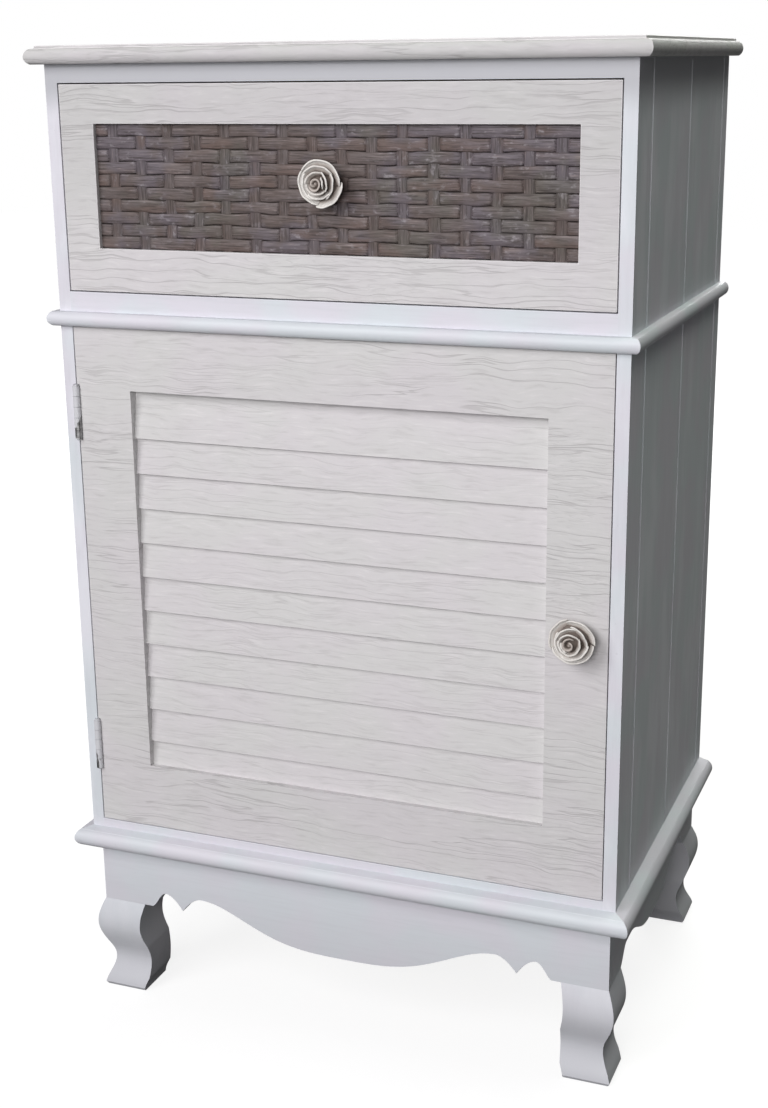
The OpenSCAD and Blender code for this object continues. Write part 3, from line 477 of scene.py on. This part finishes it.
def opened(mesh):
    """A mesh to work on, with its doubles merged and its flat faces whole."""
    bm = bmesh.new()
    bm.from_mesh(mesh)
    bmesh.ops.remove_doubles(bm, verts=bm.verts, dist=SAME_POINT)
    bmesh.ops.dissolve_limit(bm, angle_limit=SAME_FACE, verts=bm.verts, edges=bm.edges)
    return bm


def stand_for(bm, name):
    """A throwaway object that shows a mesh under construction to a modifier."""
    mesh = bpy.data.meshes.new(name)
    bm.to_mesh(mesh)
    bm.free()
    stand = bpy.data.objects.new(name, mesh)
    bpy.context.scene.collection.objects.link(stand)
    return stand


def taken(stand, *others):
    """The plain mesh that an object's modifiers make of it; the objects are thrown away."""
    bpy.context.view_layer.update()
    graph = bpy.context.evaluated_depsgraph_get()
    result = bpy.data.meshes.new_from_object(stand.evaluated_get(graph))
    for thing in (stand, *others):
        mesh = thing.data
        bpy.data.objects.remove(thing)
        bpy.data.meshes.remove(mesh)
    return result


def glued(names):
    """The union of several boards, without the faces between them."""
    first, *others = [stand_for(opened(NODES[name].data), name + "_board") for name in names]
    for other in others:
        modifier = first.modifiers.new(other.name, "BOOLEAN")
        modifier.operation = "UNION"
        modifier.solver = "EXACT"
        modifier.object = other
    mesh = taken(first, *others)
    bm = opened(mesh)
    bpy.data.meshes.remove(mesh)
    return bm


def touches(edge, trees):
    """Whether an edge lies on another board anywhere along it, so that it is part of a joint."""
    start, end = (vert.co for vert in edge.verts)
    return any(tree.find_nearest(start.lerp(end, share), JOINT_REACH)[0] is not None
               for tree in trees for share in JOINT_SPOTS)


def mark_islands(bm, layer, seed):
    """Give each solid of a node a number of its own, so that no two show the same grain."""
    left = set(bm.verts)
    count = 0
    for first in bm.verts:
        if first not in left:
            continue
        left.discard(first)
        front = [first]
        value = (seed * NODE_STEP + count * SOLID_STEP) % 1.0
        while front:
            vert = front.pop()
            vert[layer] = value * GRAIN_SPREAD
            for edge in vert.link_edges:
                other = edge.other_vert(vert)
                if other in left:
                    left.discard(other)
                    front.append(other)
        count += 1


def softened(bm, name, offset, sharp, seed, trees=()):
    """A mesh with its edges rubbed round, but for those in a joint, and flat faces shaded flat."""
    mark_islands(bm, bm.verts.layers.float.new("piece_shift"), seed)
    for mark, starts in MARKS.items():
        layer = bm.verts.layers.float.new(mark)
        for vert in bm.verts:
            vert[layer] = float(name.startswith(starts))
    edge_layer = bm.faces.layers.float.new("edge")
    edges = [edge for edge in bm.edges
             if len(edge.link_faces) == 2 and edge.calc_face_angle(0.0) > sharp
             and edge.calc_length() > offset and not touches(edge, trees)]
    made = bmesh.ops.bevel(bm, geom=edges, offset=offset, offset_type="OFFSET",
                           segments=EDGE_FACES, profile=0.5, affect="EDGES", clamp_overlap=True)
    # the bevel's faces are marked so that the paints lighten them, a painted highlight
    for face in made["faces"]:
        face[edge_layer] = 1.0
    bmesh.ops.remove_doubles(bm, verts=bm.verts, dist=SLIVER)
    bmesh.ops.dissolve_degenerate(bm, dist=SLIVER, edges=bm.edges)
    for face in bm.faces:
        face.smooth = True
    for edge in bm.edges:
        edge.smooth = edge.calc_face_angle(0.0) < sharp
    stand = stand_for(bm, name + "_stand")
    stand.data.materials.append(None)
    modifier = stand.modifiers.new("normals", "WEIGHTED_NORMAL")
    modifier.keep_sharp = True
    mesh = taken(stand)
    mesh.name = name + "_finished"
    return mesh


def assign(name, material):
    for slot in NODES[name].material_slots:
        slot.material = material


class CUPBOARD_OT_boards(bpy.types.Operator):
    """Paint the carcass, the drawer front and the door, with their edges rubbed round"""
    bl_idname = "cupboard.boards"
    bl_label = "Painted boards"

    def execute(self, context):
        paint = context.scene.cupboard_paint
        for slot, material in (("smooth_paint", smooth_paint(paint.smooth)),
                               ("crackle_paint", crackle_paint(paint.crackle, paint.streak))):
            boards = {name: opened(NODES[name].data) for name in nodes_in(slot)}
            trees = {name: BVHTree.FromBMesh(bm) for name, bm in boards.items()}
            framed = {name for names in GLUED.values() for name in names}
            sets = {name: [name] for name in boards if name not in framed}
            sets.update({name: names for name, names in GLUED.items() if names[0] in boards})
            for seed, (name, names) in enumerate(sets.items()):
                near = [tree for other, tree in trees.items()
                        if other not in names and BODY_OF[other] == BODY_OF[names[0]]]
                bm = boards[name].copy() if names == [name] else glued(names)
                mesh = softened(bm, name, paint.softening, paint.sharp, seed, near)
                mesh.materials[0] = material
                add_piece(mesh.name, mesh, names)
            for bm in boards.values():
                bm.free()
        return {"FINISHED"}


class CUPBOARD_OT_plain_parts(bpy.types.Operator):
    """Finish the bare wood, the screws and the catch, which keep their CAD shapes"""
    bl_idname = "cupboard.plain_parts"
    bl_label = "Bare wood, screws and catch"

    def execute(self, context):
        finishes = {
            "bare_wood": plain_wood(), "steel": screw_metal(), "catch_plastic": catch_plastic()}
        for slot, material in finishes.items():
            for name in nodes_in(slot):
                assign(name, material)
        return {"FINISHED"}


# ---- Woven panel ----

# Points along a weaver, along a stake and round a strand
WEAVER_POINTS, STAKE_POINTS, STRAND_POINTS = 330, 30, 14
# The gap between two weavers of the CAD node, as a share of the distance between their rows
CAD_GAP = 0.11
# In metres: how far inside a stake's edge a weaver leaves its dip, how far crossing strands press
# into each other, how much a weaver rises and falls, and how far a strand drifts along X and Z
DIP_INSET, PRESS, WAVER = 0.0011, 0.0004, 0.0007
DRIFT_X, DRIFT_Z = 0.0050, 0.0036
# Waves a metre in the rise and fall and in the drift, and how far apart the rows' waves start
WAVER_SCALE, DRIFT_SCALE, ROW_STEP = 60.0, 45.0, 7.3
# How much thicker a stake shows than its flat CAD solid, and how much darker than a weaver
STAKE_SWELL, STAKE_SHADE = 2.5, 0.86
# Distance in metres over which the strands' grains are spread, and the seeds that set them
STRAND_SPREAD, WEAVER_SEED, STAKE_SEED = 3.0, 4, 9


class NodePlan(Nodes):
    """A Geometry Nodes tree, with short calls for its inputs and its strands."""

    def __init__(self, name):
        super().__init__(bpy.data.node_groups.new(name, "GeometryNodeTree"))
        self.tree.is_modifier = True
        self.tree.interface.new_socket(
            name="Geometry", in_out="OUTPUT", socket_type="NodeSocketGeometry")
        self.entry = self.tree.nodes.new("NodeGroupInput")
        self.values = {}

    def input(self, name, kind, value):
        socket = self.tree.interface.new_socket(
            name=name, in_out="INPUT", socket_type="NodeSocket" + kind)
        self.values[socket.identifier] = value
        return self.entry.outputs[name]

    def make(self, kind, inputs=None, **settings):
        """The first output of a new geometry node."""
        return self.add("GeometryNode" + kind, inputs, **settings).outputs[0]

    def vector(self, x=0.0, y=0.0, z=0.0):
        return self.add("ShaderNodeCombineXYZ", {"X": x, "Y": y, "Z": z}).outputs[0]

    def axes(self, vector):
        return self.add("ShaderNodeSeparateXYZ", {0: vector}).outputs

    def vector_math(self, operation, a, b):
        return self.add("ShaderNodeVectorMath", {0: a, 1: b}, operation=operation).outputs[0]

    def store(self, geometry, name, value, domain):
        return self.make("StoreNamedAttribute", {"Geometry": geometry, "Name": name,
                                                 "Value": value}, data_type="FLOAT", domain=domain)

    def named(self, name):
        return self.make("InputNamedAttribute", {"Name": name}, data_type="FLOAT")

    def lines(self, spots, start, end, points):
        """A line at each spot, with so many points and its number in the attribute row."""
        line = self.make("CurvePrimitiveLine", {"Start": start, "End": end})
        line = self.make("ResampleCurve", {"Curve": line, "Count": points})
        each = self.make("InstanceOnPoints", {"Points": spots, "Instance": line})
        each = self.store(each, "row", self.make("InputIndex"), "INSTANCE")
        return self.make("RealizeInstances", {"Geometry": each})

    def strands(self, lines, section, seed, skin):
        """The lines given a section, a grain of their own and a material."""
        mesh = self.make("CurveToMesh", {
            "Curve": lines, "Profile Curve": section, "Fill Caps": True})
        chance = self.add("FunctionNodeRandomValue", {"ID": self.named("row"), "Seed": seed},
                          data_type="FLOAT").outputs[1]
        mesh = self.store(mesh, "strand", self.times(chance, STRAND_SPREAD), "POINT")
        return self.make("SetMaterial", {"Geometry": mesh, "Material": skin})

    def mesh(self, geometry, name):
        """Run the tree on an empty object and keep what it makes as a plain mesh."""
        leave = self.tree.nodes.new("NodeGroupOutput")
        self.feed(leave.inputs[0], self.make("RealizeInstances", {"Geometry": geometry}))
        stand = stand_for(bmesh.new(), name + "_stand")
        modifier = stand.modifiers.new(name, "NODES")
        modifier.node_group = self.tree
        for identifier, value in self.values.items():
            modifier[identifier] = value
        result = taken(stand)
        result.name = name
        if not result.polygons:
            raise RuntimeError(name + " came out empty")
        return result


def woven_mesh(settings):
    """Rows of weavers that dip behind every second stake, and the stakes."""
    (stake_low, stake_high), (weaver_low, weaver_high) = STAKES, WEAVERS
    middle_y = (stake_low[1] + stake_high[1]) / 2
    middle_z = (weaver_low[2] + weaver_high[2]) / 2
    plan = NodePlan("woven_cane")
    rows = plan.input("Rows", "Int", settings.rows)
    stakes = plan.input("Stakes", "Int", settings.stakes)
    stake_w, stake_t, strand_t, gap, bend, width, row_pitch, pitch = [
        plan.input(name, "Float", size) for name, size in (
            ("Stake width", settings.stake_width),
            ("Stake thickness", stake_high[1] - stake_low[1]),
            ("Weaver thickness", settings.strand_thickness),
            ("Gap", settings.strand_gap),
            ("Bend", settings.bend),
            ("Width", weaver_high[0] - weaver_low[0]),
            ("Row pitch", (weaver_high[2] - weaver_low[2]) / (settings.rows - CAD_GAP)),
            ("Stake pitch", (stake_high[0] - stake_low[0] - settings.stake_width)
             / (settings.stakes - 1)))]
    weaver_skin = plan.input(
        "Weaver material", "Material", cane("cane_weaver", settings.light, settings.dark, 0))
    stake_skin = plan.input(
        "Stake material", "Material", cane("cane_stake", tinted(settings.light, STAKE_SHADE),
                                           tinted(settings.dark, STAKE_SHADE), 2))

    # Weavers: one straight line for each row, then bent by the distance to its next dip
    first_z = plan.minus(
        middle_z, plan.times(row_pitch, plan.times(plan.minus(rows, 1.0), 0.5)))
    spots = plan.make("MeshLine", {
        "Count": rows, "Start Location": plan.vector(0.0, middle_y, first_z),
        "Offset": plan.vector(z=row_pitch)})
    lines = plan.lines(spots, plan.vector(plan.times(width, -0.5)),
                       plan.vector(plan.times(width, 0.5)), WEAVER_POINTS)
    row, place = plan.named("row"), plan.make("InputPosition")
    x, _, z = plan.axes(place)
    first_x = plan.times(pitch, plan.times(plan.minus(stakes, 1.0), -0.5))
    phase = plan.times(plan.value("MODULO", row, 2.0), pitch)
    away = plan.value(
        "PINGPONG", plan.plus(plan.minus(x, first_x), plan.minus(phase, pitch)), pitch)
    half = plan.minus(plan.times(stake_w, 0.5), DIP_INSET)
    swing = plan.minus(plan.times(plan.plus(strand_t, stake_t), 0.5), PRESS)
    depth = plan.add("ShaderNodeMapRange", {
        "Value": away, "From Min": half, "From Max": plan.plus(half, bend), "To Min": swing,
        "To Max": plan.times(swing, -1.0)}, interpolation_type="SMOOTHSTEP").outputs[0]
    sway = plan.add("ShaderNodeTexNoise", {
        "W": plan.times(row, ROW_STEP), "Vector": place, "Scale": WAVER_SCALE, "Detail": 1.0,
    }, noise_dimensions="4D").outputs[0]
    rise = plan.times(plan.minus(sway, 0.5), WAVER)
    lines = plan.make("SetPosition", {"Geometry": lines, "Offset": plan.vector(0.0, depth, rise)})
    lines = plan.make("SetCurveNormal", {"Curve": lines}, mode="Z_UP")
    section = strand_section(plan, plan.minus(row_pitch, gap), strand_t)
    weavers = plan.strands(lines, section, WEAVER_SEED, weaver_skin)

    # Stakes: upright lines behind the rows
    spots = plan.make("MeshLine", {
        "Count": stakes, "Start Location": plan.vector(first_x, middle_y, 0.0),
        "Offset": plan.vector(pitch)})
    lines = plan.lines(spots, (0, 0, stake_low[2]), (0, 0, stake_high[2]), STAKE_POINTS)
    section = strand_section(plan, stake_w, plan.times(stake_t, STAKE_SWELL), 0)
    posts = plan.strands(lines, section, STAKE_SEED, stake_skin)
    both = plan.add("GeometryNodeJoinGeometry")
    for part in (weavers, posts):
        plan.feed(both.inputs[0], part)

    # No strand lies quite straight, but the outer ones, which the frame holds
    half_height = plan.times(plan.times(row_pitch, rows), 0.5)
    held = []
    for along, middle, reach in ((x, 0.0, plan.times(width, 0.5)), (z, middle_z, half_height)):
        share = plan.value("DIVIDE", plan.minus(along, middle), reach)
        held.append(plan.value("POWER", plan.value("ABSOLUTE", share), 4.0))
    free = plan.value("MAXIMUM", plan.minus(1.0, plan.value("MAXIMUM", *held)), 0.0)
    drift = plan.add("ShaderNodeTexNoise", {
        "Vector": place, "Scale": DRIFT_SCALE, "Detail": 1.0}).outputs["Color"]
    drift = plan.vector_math("SUBTRACT", drift, (0.5, 0.5, 0.5))
    drift = plan.vector_math("MULTIPLY", drift, plan.vector(
        plan.times(free, DRIFT_X), 0.0, plan.times(free, DRIFT_Z)))
    return plan.mesh(
        plan.make("SetPosition", {"Geometry": both.outputs[0], "Offset": drift}), "woven_panel")


def strand_section(plan, width, thickness, wide=1):
    """A flattened round section whose width lies along its axis wide, with the way from one edge
    to the other kept in the attribute edge, from -1 to 1."""
    ring = plan.make("CurvePrimitiveCircle", {"Resolution": STRAND_POINTS, "Radius": 1.0})
    across, through = (plan.axes(plan.make("InputPosition"))[axis] for axis in (wide, 1 - wide))
    ring = plan.store(ring, "edge", across, "POINT")
    spread = plan.times(plan.value("SIGN", across),
                        plan.value("POWER", plan.value("ABSOLUTE", across), 0.5))
    sizes = [plan.times(through, plan.times(thickness, 0.5)),
             plan.times(spread, plan.times(width, 0.5))]
    shaped = plan.vector(*(sizes if wide else reversed(sizes)))
    return plan.make("SetPosition", {"Geometry": ring, "Position": shaped})


class CUPBOARD_OT_weave(bpy.types.Operator):
    """Weave the cane panel of the drawer front"""
    bl_idname = "cupboard.weave"
    bl_label = "Woven panel"

    def execute(self, context):
        mesh = woven_mesh(context.scene.cupboard_weave)
        for polygon in mesh.polygons:
            polygon.use_smooth = True
        add_piece("woven_panel", mesh, ["wicker_weavers", "wicker_stakes"])
        # the backing is painted near black, as shade between the strands
        assign("wicker_backing", stained_board())
        return {"FINISHED"}


# ---- Rose knobs ----

# Petals from the outside in, seen from the front: start and sweep in degrees, then in shares of
# the knob's radius or height the radius and height of the rim, the width of the blade, how far
# its middle is drawn in, how far its end winds in and its point, and how much brown wash and
# painted shade its rim keeps
PETALS = [
    (256, 108, 0.955, 0.55, 0.34, 0.0, -0.015, 0.025, 0.0),
    (352, 158, 0.88, 0.60, 0.30, 0.0, -0.06, 0.0, 0.05),
    (148, 116, 0.975, 0.54, 0.32, 0.0, 0.12, 0.0, 0.0),
    (296, 112, 0.71, 0.69, 0.23, 0.06, 0.0, 0.0, 0.12),
    (28, 126, 0.75, 0.74, 0.25, 0.07, 0.0, 0.0, 0.14),
    (136, 112, 0.72, 0.71, 0.23, 0.06, 0.0, 0.03, 0.10),
    (216, 120, 0.66, 0.70, 0.22, 0.06, 0.0, 0.0, 0.10),
    (318, 112, 0.52, 0.82, 0.17, 0.10, 0.0, 0.0, 0.15),
    (58, 132, 0.50, 0.85, 0.17, 0.10, 0.0, 0.0, 0.26),
    (168, 160, 0.48, 0.83, 0.16, 0.09, 0.0, 0.0, 0.22),
    (322, 90, 0.38, 0.89, 0.12, 0.12, 0.0, 0.0, 0.20),
    (200, 430, 0.32, 0.93, 0.09, 0.03, 0.19, 0.0, 0.52),
]
# Outline of the cup that holds the petals: shares of radius and height, and how deep it lies in
# a fold, which sets its brown wash and painted shade
CUP = [
    (0.0, 0.0, 0.6), (0.54, 0.0, 0.6), (0.56, 0.05, 0.5), (0.58, 0.15, 0.4),
    (0.63, 0.26, 0.4), (0.70, 0.36, 0.6), (0.70, 0.41, 0.8), (0.62, 0.45, 1.0),
    (0.50, 0.51, 1.0), (0.42, 0.58, 1.0), (0.34, 0.64, 1.0), (0.26, 0.70, 1.0),
    (0.16, 0.77, 1.0), (0.10, 0.82, 0.9), (0.05, 0.86, 0.7), (0.0, 0.87, 0.6),
]
# Points along a petal's blade and round its rim, and how far round the rim rolls
RISE, TURNS, ROLLED = 9, 7, math.radians(140)
# Radius of a petal's rolled rim and half its thickness, in shares of the knob's radius
ROLL, HALF_THICK = 0.030, 0.021
# Points closer than this, in metres, are one where a petal shrinks to nothing
PETAL_END = 1e-7
# How far each knob was turned when it was screwed on, in degrees
ROSE_TURN = {"drawer_rose_knob": 0, "door_rose_knob": -154}


class Cast:
    """The growing mesh of a rose: points round an axis, with how deep each lies in a fold."""

    def __init__(self, radius, height, turn):
        self.radius, self.height, self.turn = radius, height, turn
        self.verts, self.folds, self.faces = [], [], []

    def point(self, angle, out, up, fold):
        angle = math.radians(angle + self.turn)
        self.verts.append((math.cos(angle) * out, -up, math.sin(angle) * out))
        self.folds.append(min(max(fold, 0.0), 1.0))

    def skin(self, start, rows, columns, closed_rows, closed_columns):
        """Faces over a grid of points that begins at start."""
        for i in range(rows - (not closed_rows)):
            for j in range(columns - (not closed_columns)):
                a, b = start + i * columns, start + (i + 1) % rows * columns
                k = (j + 1) % columns
                self.faces.append((a + j, a + k, b + k, b + j))

    def lathe(self, outline, spokes):
        start = len(self.verts)
        for j in range(spokes):
            for out, up, fold in outline:
                self.point(360 * j / spokes, out * self.radius, up * self.height, fold)
        self.skin(start, spokes, len(outline), True, False)

    def petal(self, first, sweep, rim, top, spread, flat, wind, tip, rim_wash_and_shade):
        """One petal, a step for every two degrees: a blade that opens like a bowl to a rolled
        rim, sways a little along it and shrinks to nothing at both ends."""
        deep = self.height * (0.23 - 0.08 * rim)
        start = len(self.verts)
        steps = sweep // 2
        roll, half = ROLL * self.radius, HALF_THICK * self.radius
        for i in range(steps + 1):
            share = i / steps
            end = abs(2 * share - 1)
            size = math.sqrt(max(0.0, 1 - end ** 12))
            sway = 0.010 * math.sin(6 * math.pi * share + first)
            reach = self.radius * (rim * (1 + sway - flat * (1 - end ** 2)) - wind * share
                                   + tip * math.exp(-(share / 0.07) ** 2))
            high = self.height * top * (
                1 - 0.08 * end ** 4 + 0.012 * math.sin(4 * math.pi * share + 2 * first))
            blade = spread * self.radius * (1 - 0.4 * end ** 6)
            for out, up, fold in petal_loop(reach - roll - half, high - deep,
                                            high - roll - half, roll * size, half * size, blade):
                self.point(first + sweep * share, out, up, fold + rim_wash_and_shade)
        self.skin(start, steps + 1, 2 * (RISE + TURNS + 1), False, True)

    def mesh(self, name, center):
        mesh = bpy.data.meshes.new(name)
        mesh.from_pydata([Vector(vert) + center for vert in self.verts], [], self.faces)
        mesh.attributes.new("fold", "FLOAT", "POINT").data.foreach_set("value", self.folds)
        bm = bmesh.new()
        bm.from_mesh(mesh)
        bmesh.ops.remove_doubles(bm, verts=bm.verts, dist=PETAL_END)
        bmesh.ops.holes_fill(bm, edges=bm.edges)
        bmesh.ops.recalc_face_normals(bm, faces=bm.faces)
        for face in bm.faces:
            face.smooth = True
        bm.to_mesh(mesh)
        bm.free()
        return mesh


def petal_loop(reach, low, top, roll, half, blade):
    """A petal's closed section: up inside from its root, round the rolled rim and down outside,
    each point with how deep it lies in a fold."""
    line = [(reach - blade * (1 - i / RISE) ** 1.4, low + (top - low) * i / RISE)
            for i in range(RISE + 1)]
    for i in range(1, TURNS + 1):
        turn = ROLLED * i / TURNS
        line.append((reach + roll * (1 - math.cos(turn)), top + roll * math.sin(turn)))
    inner, outer = [], []
    for i, (out, up) in enumerate(line):
        before, after = line[max(i - 1, 0)], line[min(i + 1, len(line) - 1)]
        along = Vector((after[0] - before[0], after[1] - before[1]))
        along = along.normalized() if along.length > 1e-9 else Vector((0.0, 1.0))
        fold = max(0.0, 1 - i / RISE)
        inner.append((out - along.y * half, up + along.x * half, fold ** 1.4))
        outer.append((out + along.y * half, up - along.x * half, 0.15 + fold ** 0.6))
    return inner + outer[::-1]


def rose_mesh(name, settings):
    """A rose whose petals overlap round a rolled bud, its face towards -Y."""
    low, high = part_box(name)
    axis_low, axis_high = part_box(name.replace("rose_knob", "knob_screw"))
    center = Vector(((axis_low[0] + axis_high[0]) / 2, high[1], (axis_low[2] + axis_high[2]) / 2))
    cast = Cast(settings.radius, high[1] - low[1], ROSE_TURN[name])
    cast.lathe(CUP, settings.spokes)
    for petal in PETALS:
        cast.petal(*petal)
    return cast.mesh(name + "_finished", center)


class CUPBOARD_OT_knobs(bpy.types.Operator):
    """Sculpt the two rose knobs, petal by petal"""
    bl_idname = "cupboard.knobs"
    bl_label = "Rose knobs"

    def execute(self, context):
        settings = context.scene.cupboard_rose
        material = rose_resin(settings.resin, settings.wash_and_shade)
        for name in nodes_in("resin"):
            mesh = rose_mesh(name, settings)
            mesh.materials.append(material)
            add_piece(mesh.name, mesh, [name])
        return {"FINISHED"}


# ---- Hinges ----

class CUPBOARD_OT_hinges(bpy.types.Operator):
    """Round the edges of the two hinges and plate them"""
    bl_idname = "cupboard.hinges"
    bl_label = "Hinges"

    def execute(self, context):
        settings = context.scene.cupboard_hinge
        sharp = context.scene.cupboard_paint.sharp
        material = hinge_metal(settings.metal)
        for seed, name in enumerate(HINGES):
            mesh = softened(opened(NODES[name].data), name, settings.softening, sharp, seed)
            mesh.materials[0] = material
            add_piece(mesh.name, mesh, [name])
        return {"FINISHED"}


# ---- Stage ----

# Where the photograph was taken from, in metres and radians, and the width of its film in mm
CAMERA_PLACE = (0.43768, -1.13881, 0.68681)
CAMERA_TURN = (1.287477, 0.012422, 0.374929)
FILM_WIDTH = 36.0
# Each lamp's place, the point it looks at, its width in metres and its tint
LAMPS = {
    "key": ((-1.1, -2.3, 1.9), (0, 0, 0.35), 1.6, (1.0, 0.985, 1.0)),
    "fill": ((0.33, -2.4, 1.0), (0.05, 0, 0.3), 1.0, (1.0, 0.985, 1.0)),
    "top": ((0.7, 0.5, 2.6), (0, 0, 0.4), 1.2, (0.955, 1.0, 0.91)),
    "back": ((-0.5, 2.6, 1.6), (0, 0, 0.35), 1.6, (1.0, 1.0, 1.0)),
}
# Half the floor's width in metres, and the distances between which its glow turns full white,
# with how strong it is next to the cupboard
FLOOR_REACH, GLOW, NEAR_GLOW = 6.0, (0.5, 2.4), 0.83
WHITE = (1, 1, 1)


def stage_lamp(name, power):
    place, target, width, tint = LAMPS[name]
    light = bpy.data.lights.new(name + "_lamp", "AREA")
    light.shape = "SQUARE"
    light.size = width
    light.energy = power
    light.color = tint
    lamp = bpy.data.objects.new(light.name, light)
    lamp.location = place
    lamp.rotation_euler = (Vector(target) - Vector(place)).to_track_quat("-Z", "Y").to_euler()
    bpy.context.scene.collection.objects.link(lamp)


def stage_camera(lens):
    camera = bpy.data.cameras.new("camera")
    camera.lens = lens
    camera.sensor_width = FILM_WIDTH
    camera.sensor_fit = "AUTO"
    piece = bpy.data.objects.new("camera", camera)
    piece.location = CAMERA_PLACE
    piece.rotation_euler = Euler(CAMERA_TURN, "XYZ")
    bpy.context.scene.collection.objects.link(piece)
    bpy.context.scene.camera = piece


def stage_floor():
    """A pale floor that looks near white to the camera and keeps the shadow."""
    mesh = bpy.data.meshes.new("floor")
    corners = ((-1, -1), (1, -1), (1, 1), (-1, 1))
    mesh.from_pydata([(x * FLOOR_REACH, y * FLOOR_REACH, 0) for x, y in corners], [],
                     [(0, 1, 2, 3)])
    floor = bpy.data.objects.new("floor", mesh)
    bpy.context.scene.collection.objects.link(floor)
    s = Shader("floor_paper")
    seen = s.add("LightPath").outputs["Is Camera Ray"]
    distance = s.add("VectorMath", {0: s.place}, operation="LENGTH").outputs["Value"]
    paper = s.mix(s.noise(s.place, 900.0, 2.0), (0.26, 0.26, 0.26), (0.28, 0.28, 0.28))
    s.finish(s.mix(seen, (0.12, 0.12, 0.12), paper), 0.9, specular=0.05)
    s.feed(s.surface.inputs["Emission Color"], WHITE)
    s.feed(s.surface.inputs["Emission Strength"],
           s.times(seen, s.ramp(distance, *GLOW, NEAR_GLOW, 1.0)))
    mesh.materials.append(s.material)


def stage_world(ambient):
    """White to the camera and a soft ambient light to all else."""
    world = bpy.data.worlds.new("studio")
    world.use_nodes = True
    plan = Nodes(world.node_tree)
    plan.tree.nodes.clear()
    seen = plan.add("ShaderNodeLightPath").outputs["Is Camera Ray"]
    strength = plan.add("ShaderNodeMapRange", {
        "Value": seen, "To Min": ambient, "To Max": 1.0}).outputs["Result"]
    back = plan.add("ShaderNodeBackground", {"Color": WHITE, "Strength": strength})
    plan.add("ShaderNodeOutputWorld", {"Surface": back.outputs["Background"]})
    bpy.context.scene.world = world


class CUPBOARD_OT_stage(bpy.types.Operator):
    """Set up the camera, the floor, the lamps and the white surround"""
    bl_idname = "cupboard.stage"
    bl_label = "Stage"

    def execute(self, context):
        settings = context.scene.cupboard_stage
        stage_camera(settings.lens)
        stage_floor()
        stage_world(settings.ambient)
        for name in LAMPS:
            stage_lamp(name, getattr(settings, name))
        context.scene.view_settings.view_transform = "Standard"
        return {"FINISHED"}


class CUPBOARD_PT_panel(bpy.types.Panel):
    """Everything that dresses the cupboard, in the order in which it is made"""
    bl_label = "Pot cupboard"
    bl_idname = "CUPBOARD_PT_panel"
    bl_space_type = "VIEW_3D"
    bl_region_type = "UI"
    bl_category = "Cupboard"

    def draw(self, context):
        for key, settings, operators in PARTS:
            box = self.layout.box()
            group = getattr(context.scene, key)
            for prop in settings.__annotations__:
                box.prop(group, prop)
            for operator in operators:
                box.operator(operator.bl_idname)


PARTS = [
    ("cupboard_paint", PaintSettings, [CUPBOARD_OT_plain_parts, CUPBOARD_OT_boards]),
    ("cupboard_weave", WeaveSettings, [CUPBOARD_OT_weave]),
    ("cupboard_rose", RoseSettings, [CUPBOARD_OT_knobs]),
    ("cupboard_hinge", HingeSettings, [CUPBOARD_OT_hinges]),
    ("cupboard_stage", StageSettings, [CUPBOARD_OT_stage]),
]


def register():
    for key, settings, operators in PARTS:
        bpy.utils.register_class(settings)
        setattr(bpy.types.Scene, key, PointerProperty(type=settings))
        for operator in operators:
            bpy.utils.register_class(operator)
    bpy.utils.register_class(CUPBOARD_PT_panel)


def unregister():
    bpy.utils.unregister_class(CUPBOARD_PT_panel)
    for key, settings, operators in reversed(PARTS):
        for operator in operators:
            bpy.utils.unregister_class(operator)
        delattr(bpy.types.Scene, key)
        bpy.utils.unregister_class(settings)


def main():
    register()
    for operator in (bpy.ops.cupboard.plain_parts, bpy.ops.cupboard.boards,
                     bpy.ops.cupboard.weave, bpy.ops.cupboard.knobs, bpy.ops.cupboard.hinges,
                     bpy.ops.cupboard.stage):
        operator()


if __name__ == "__main__":
    main()
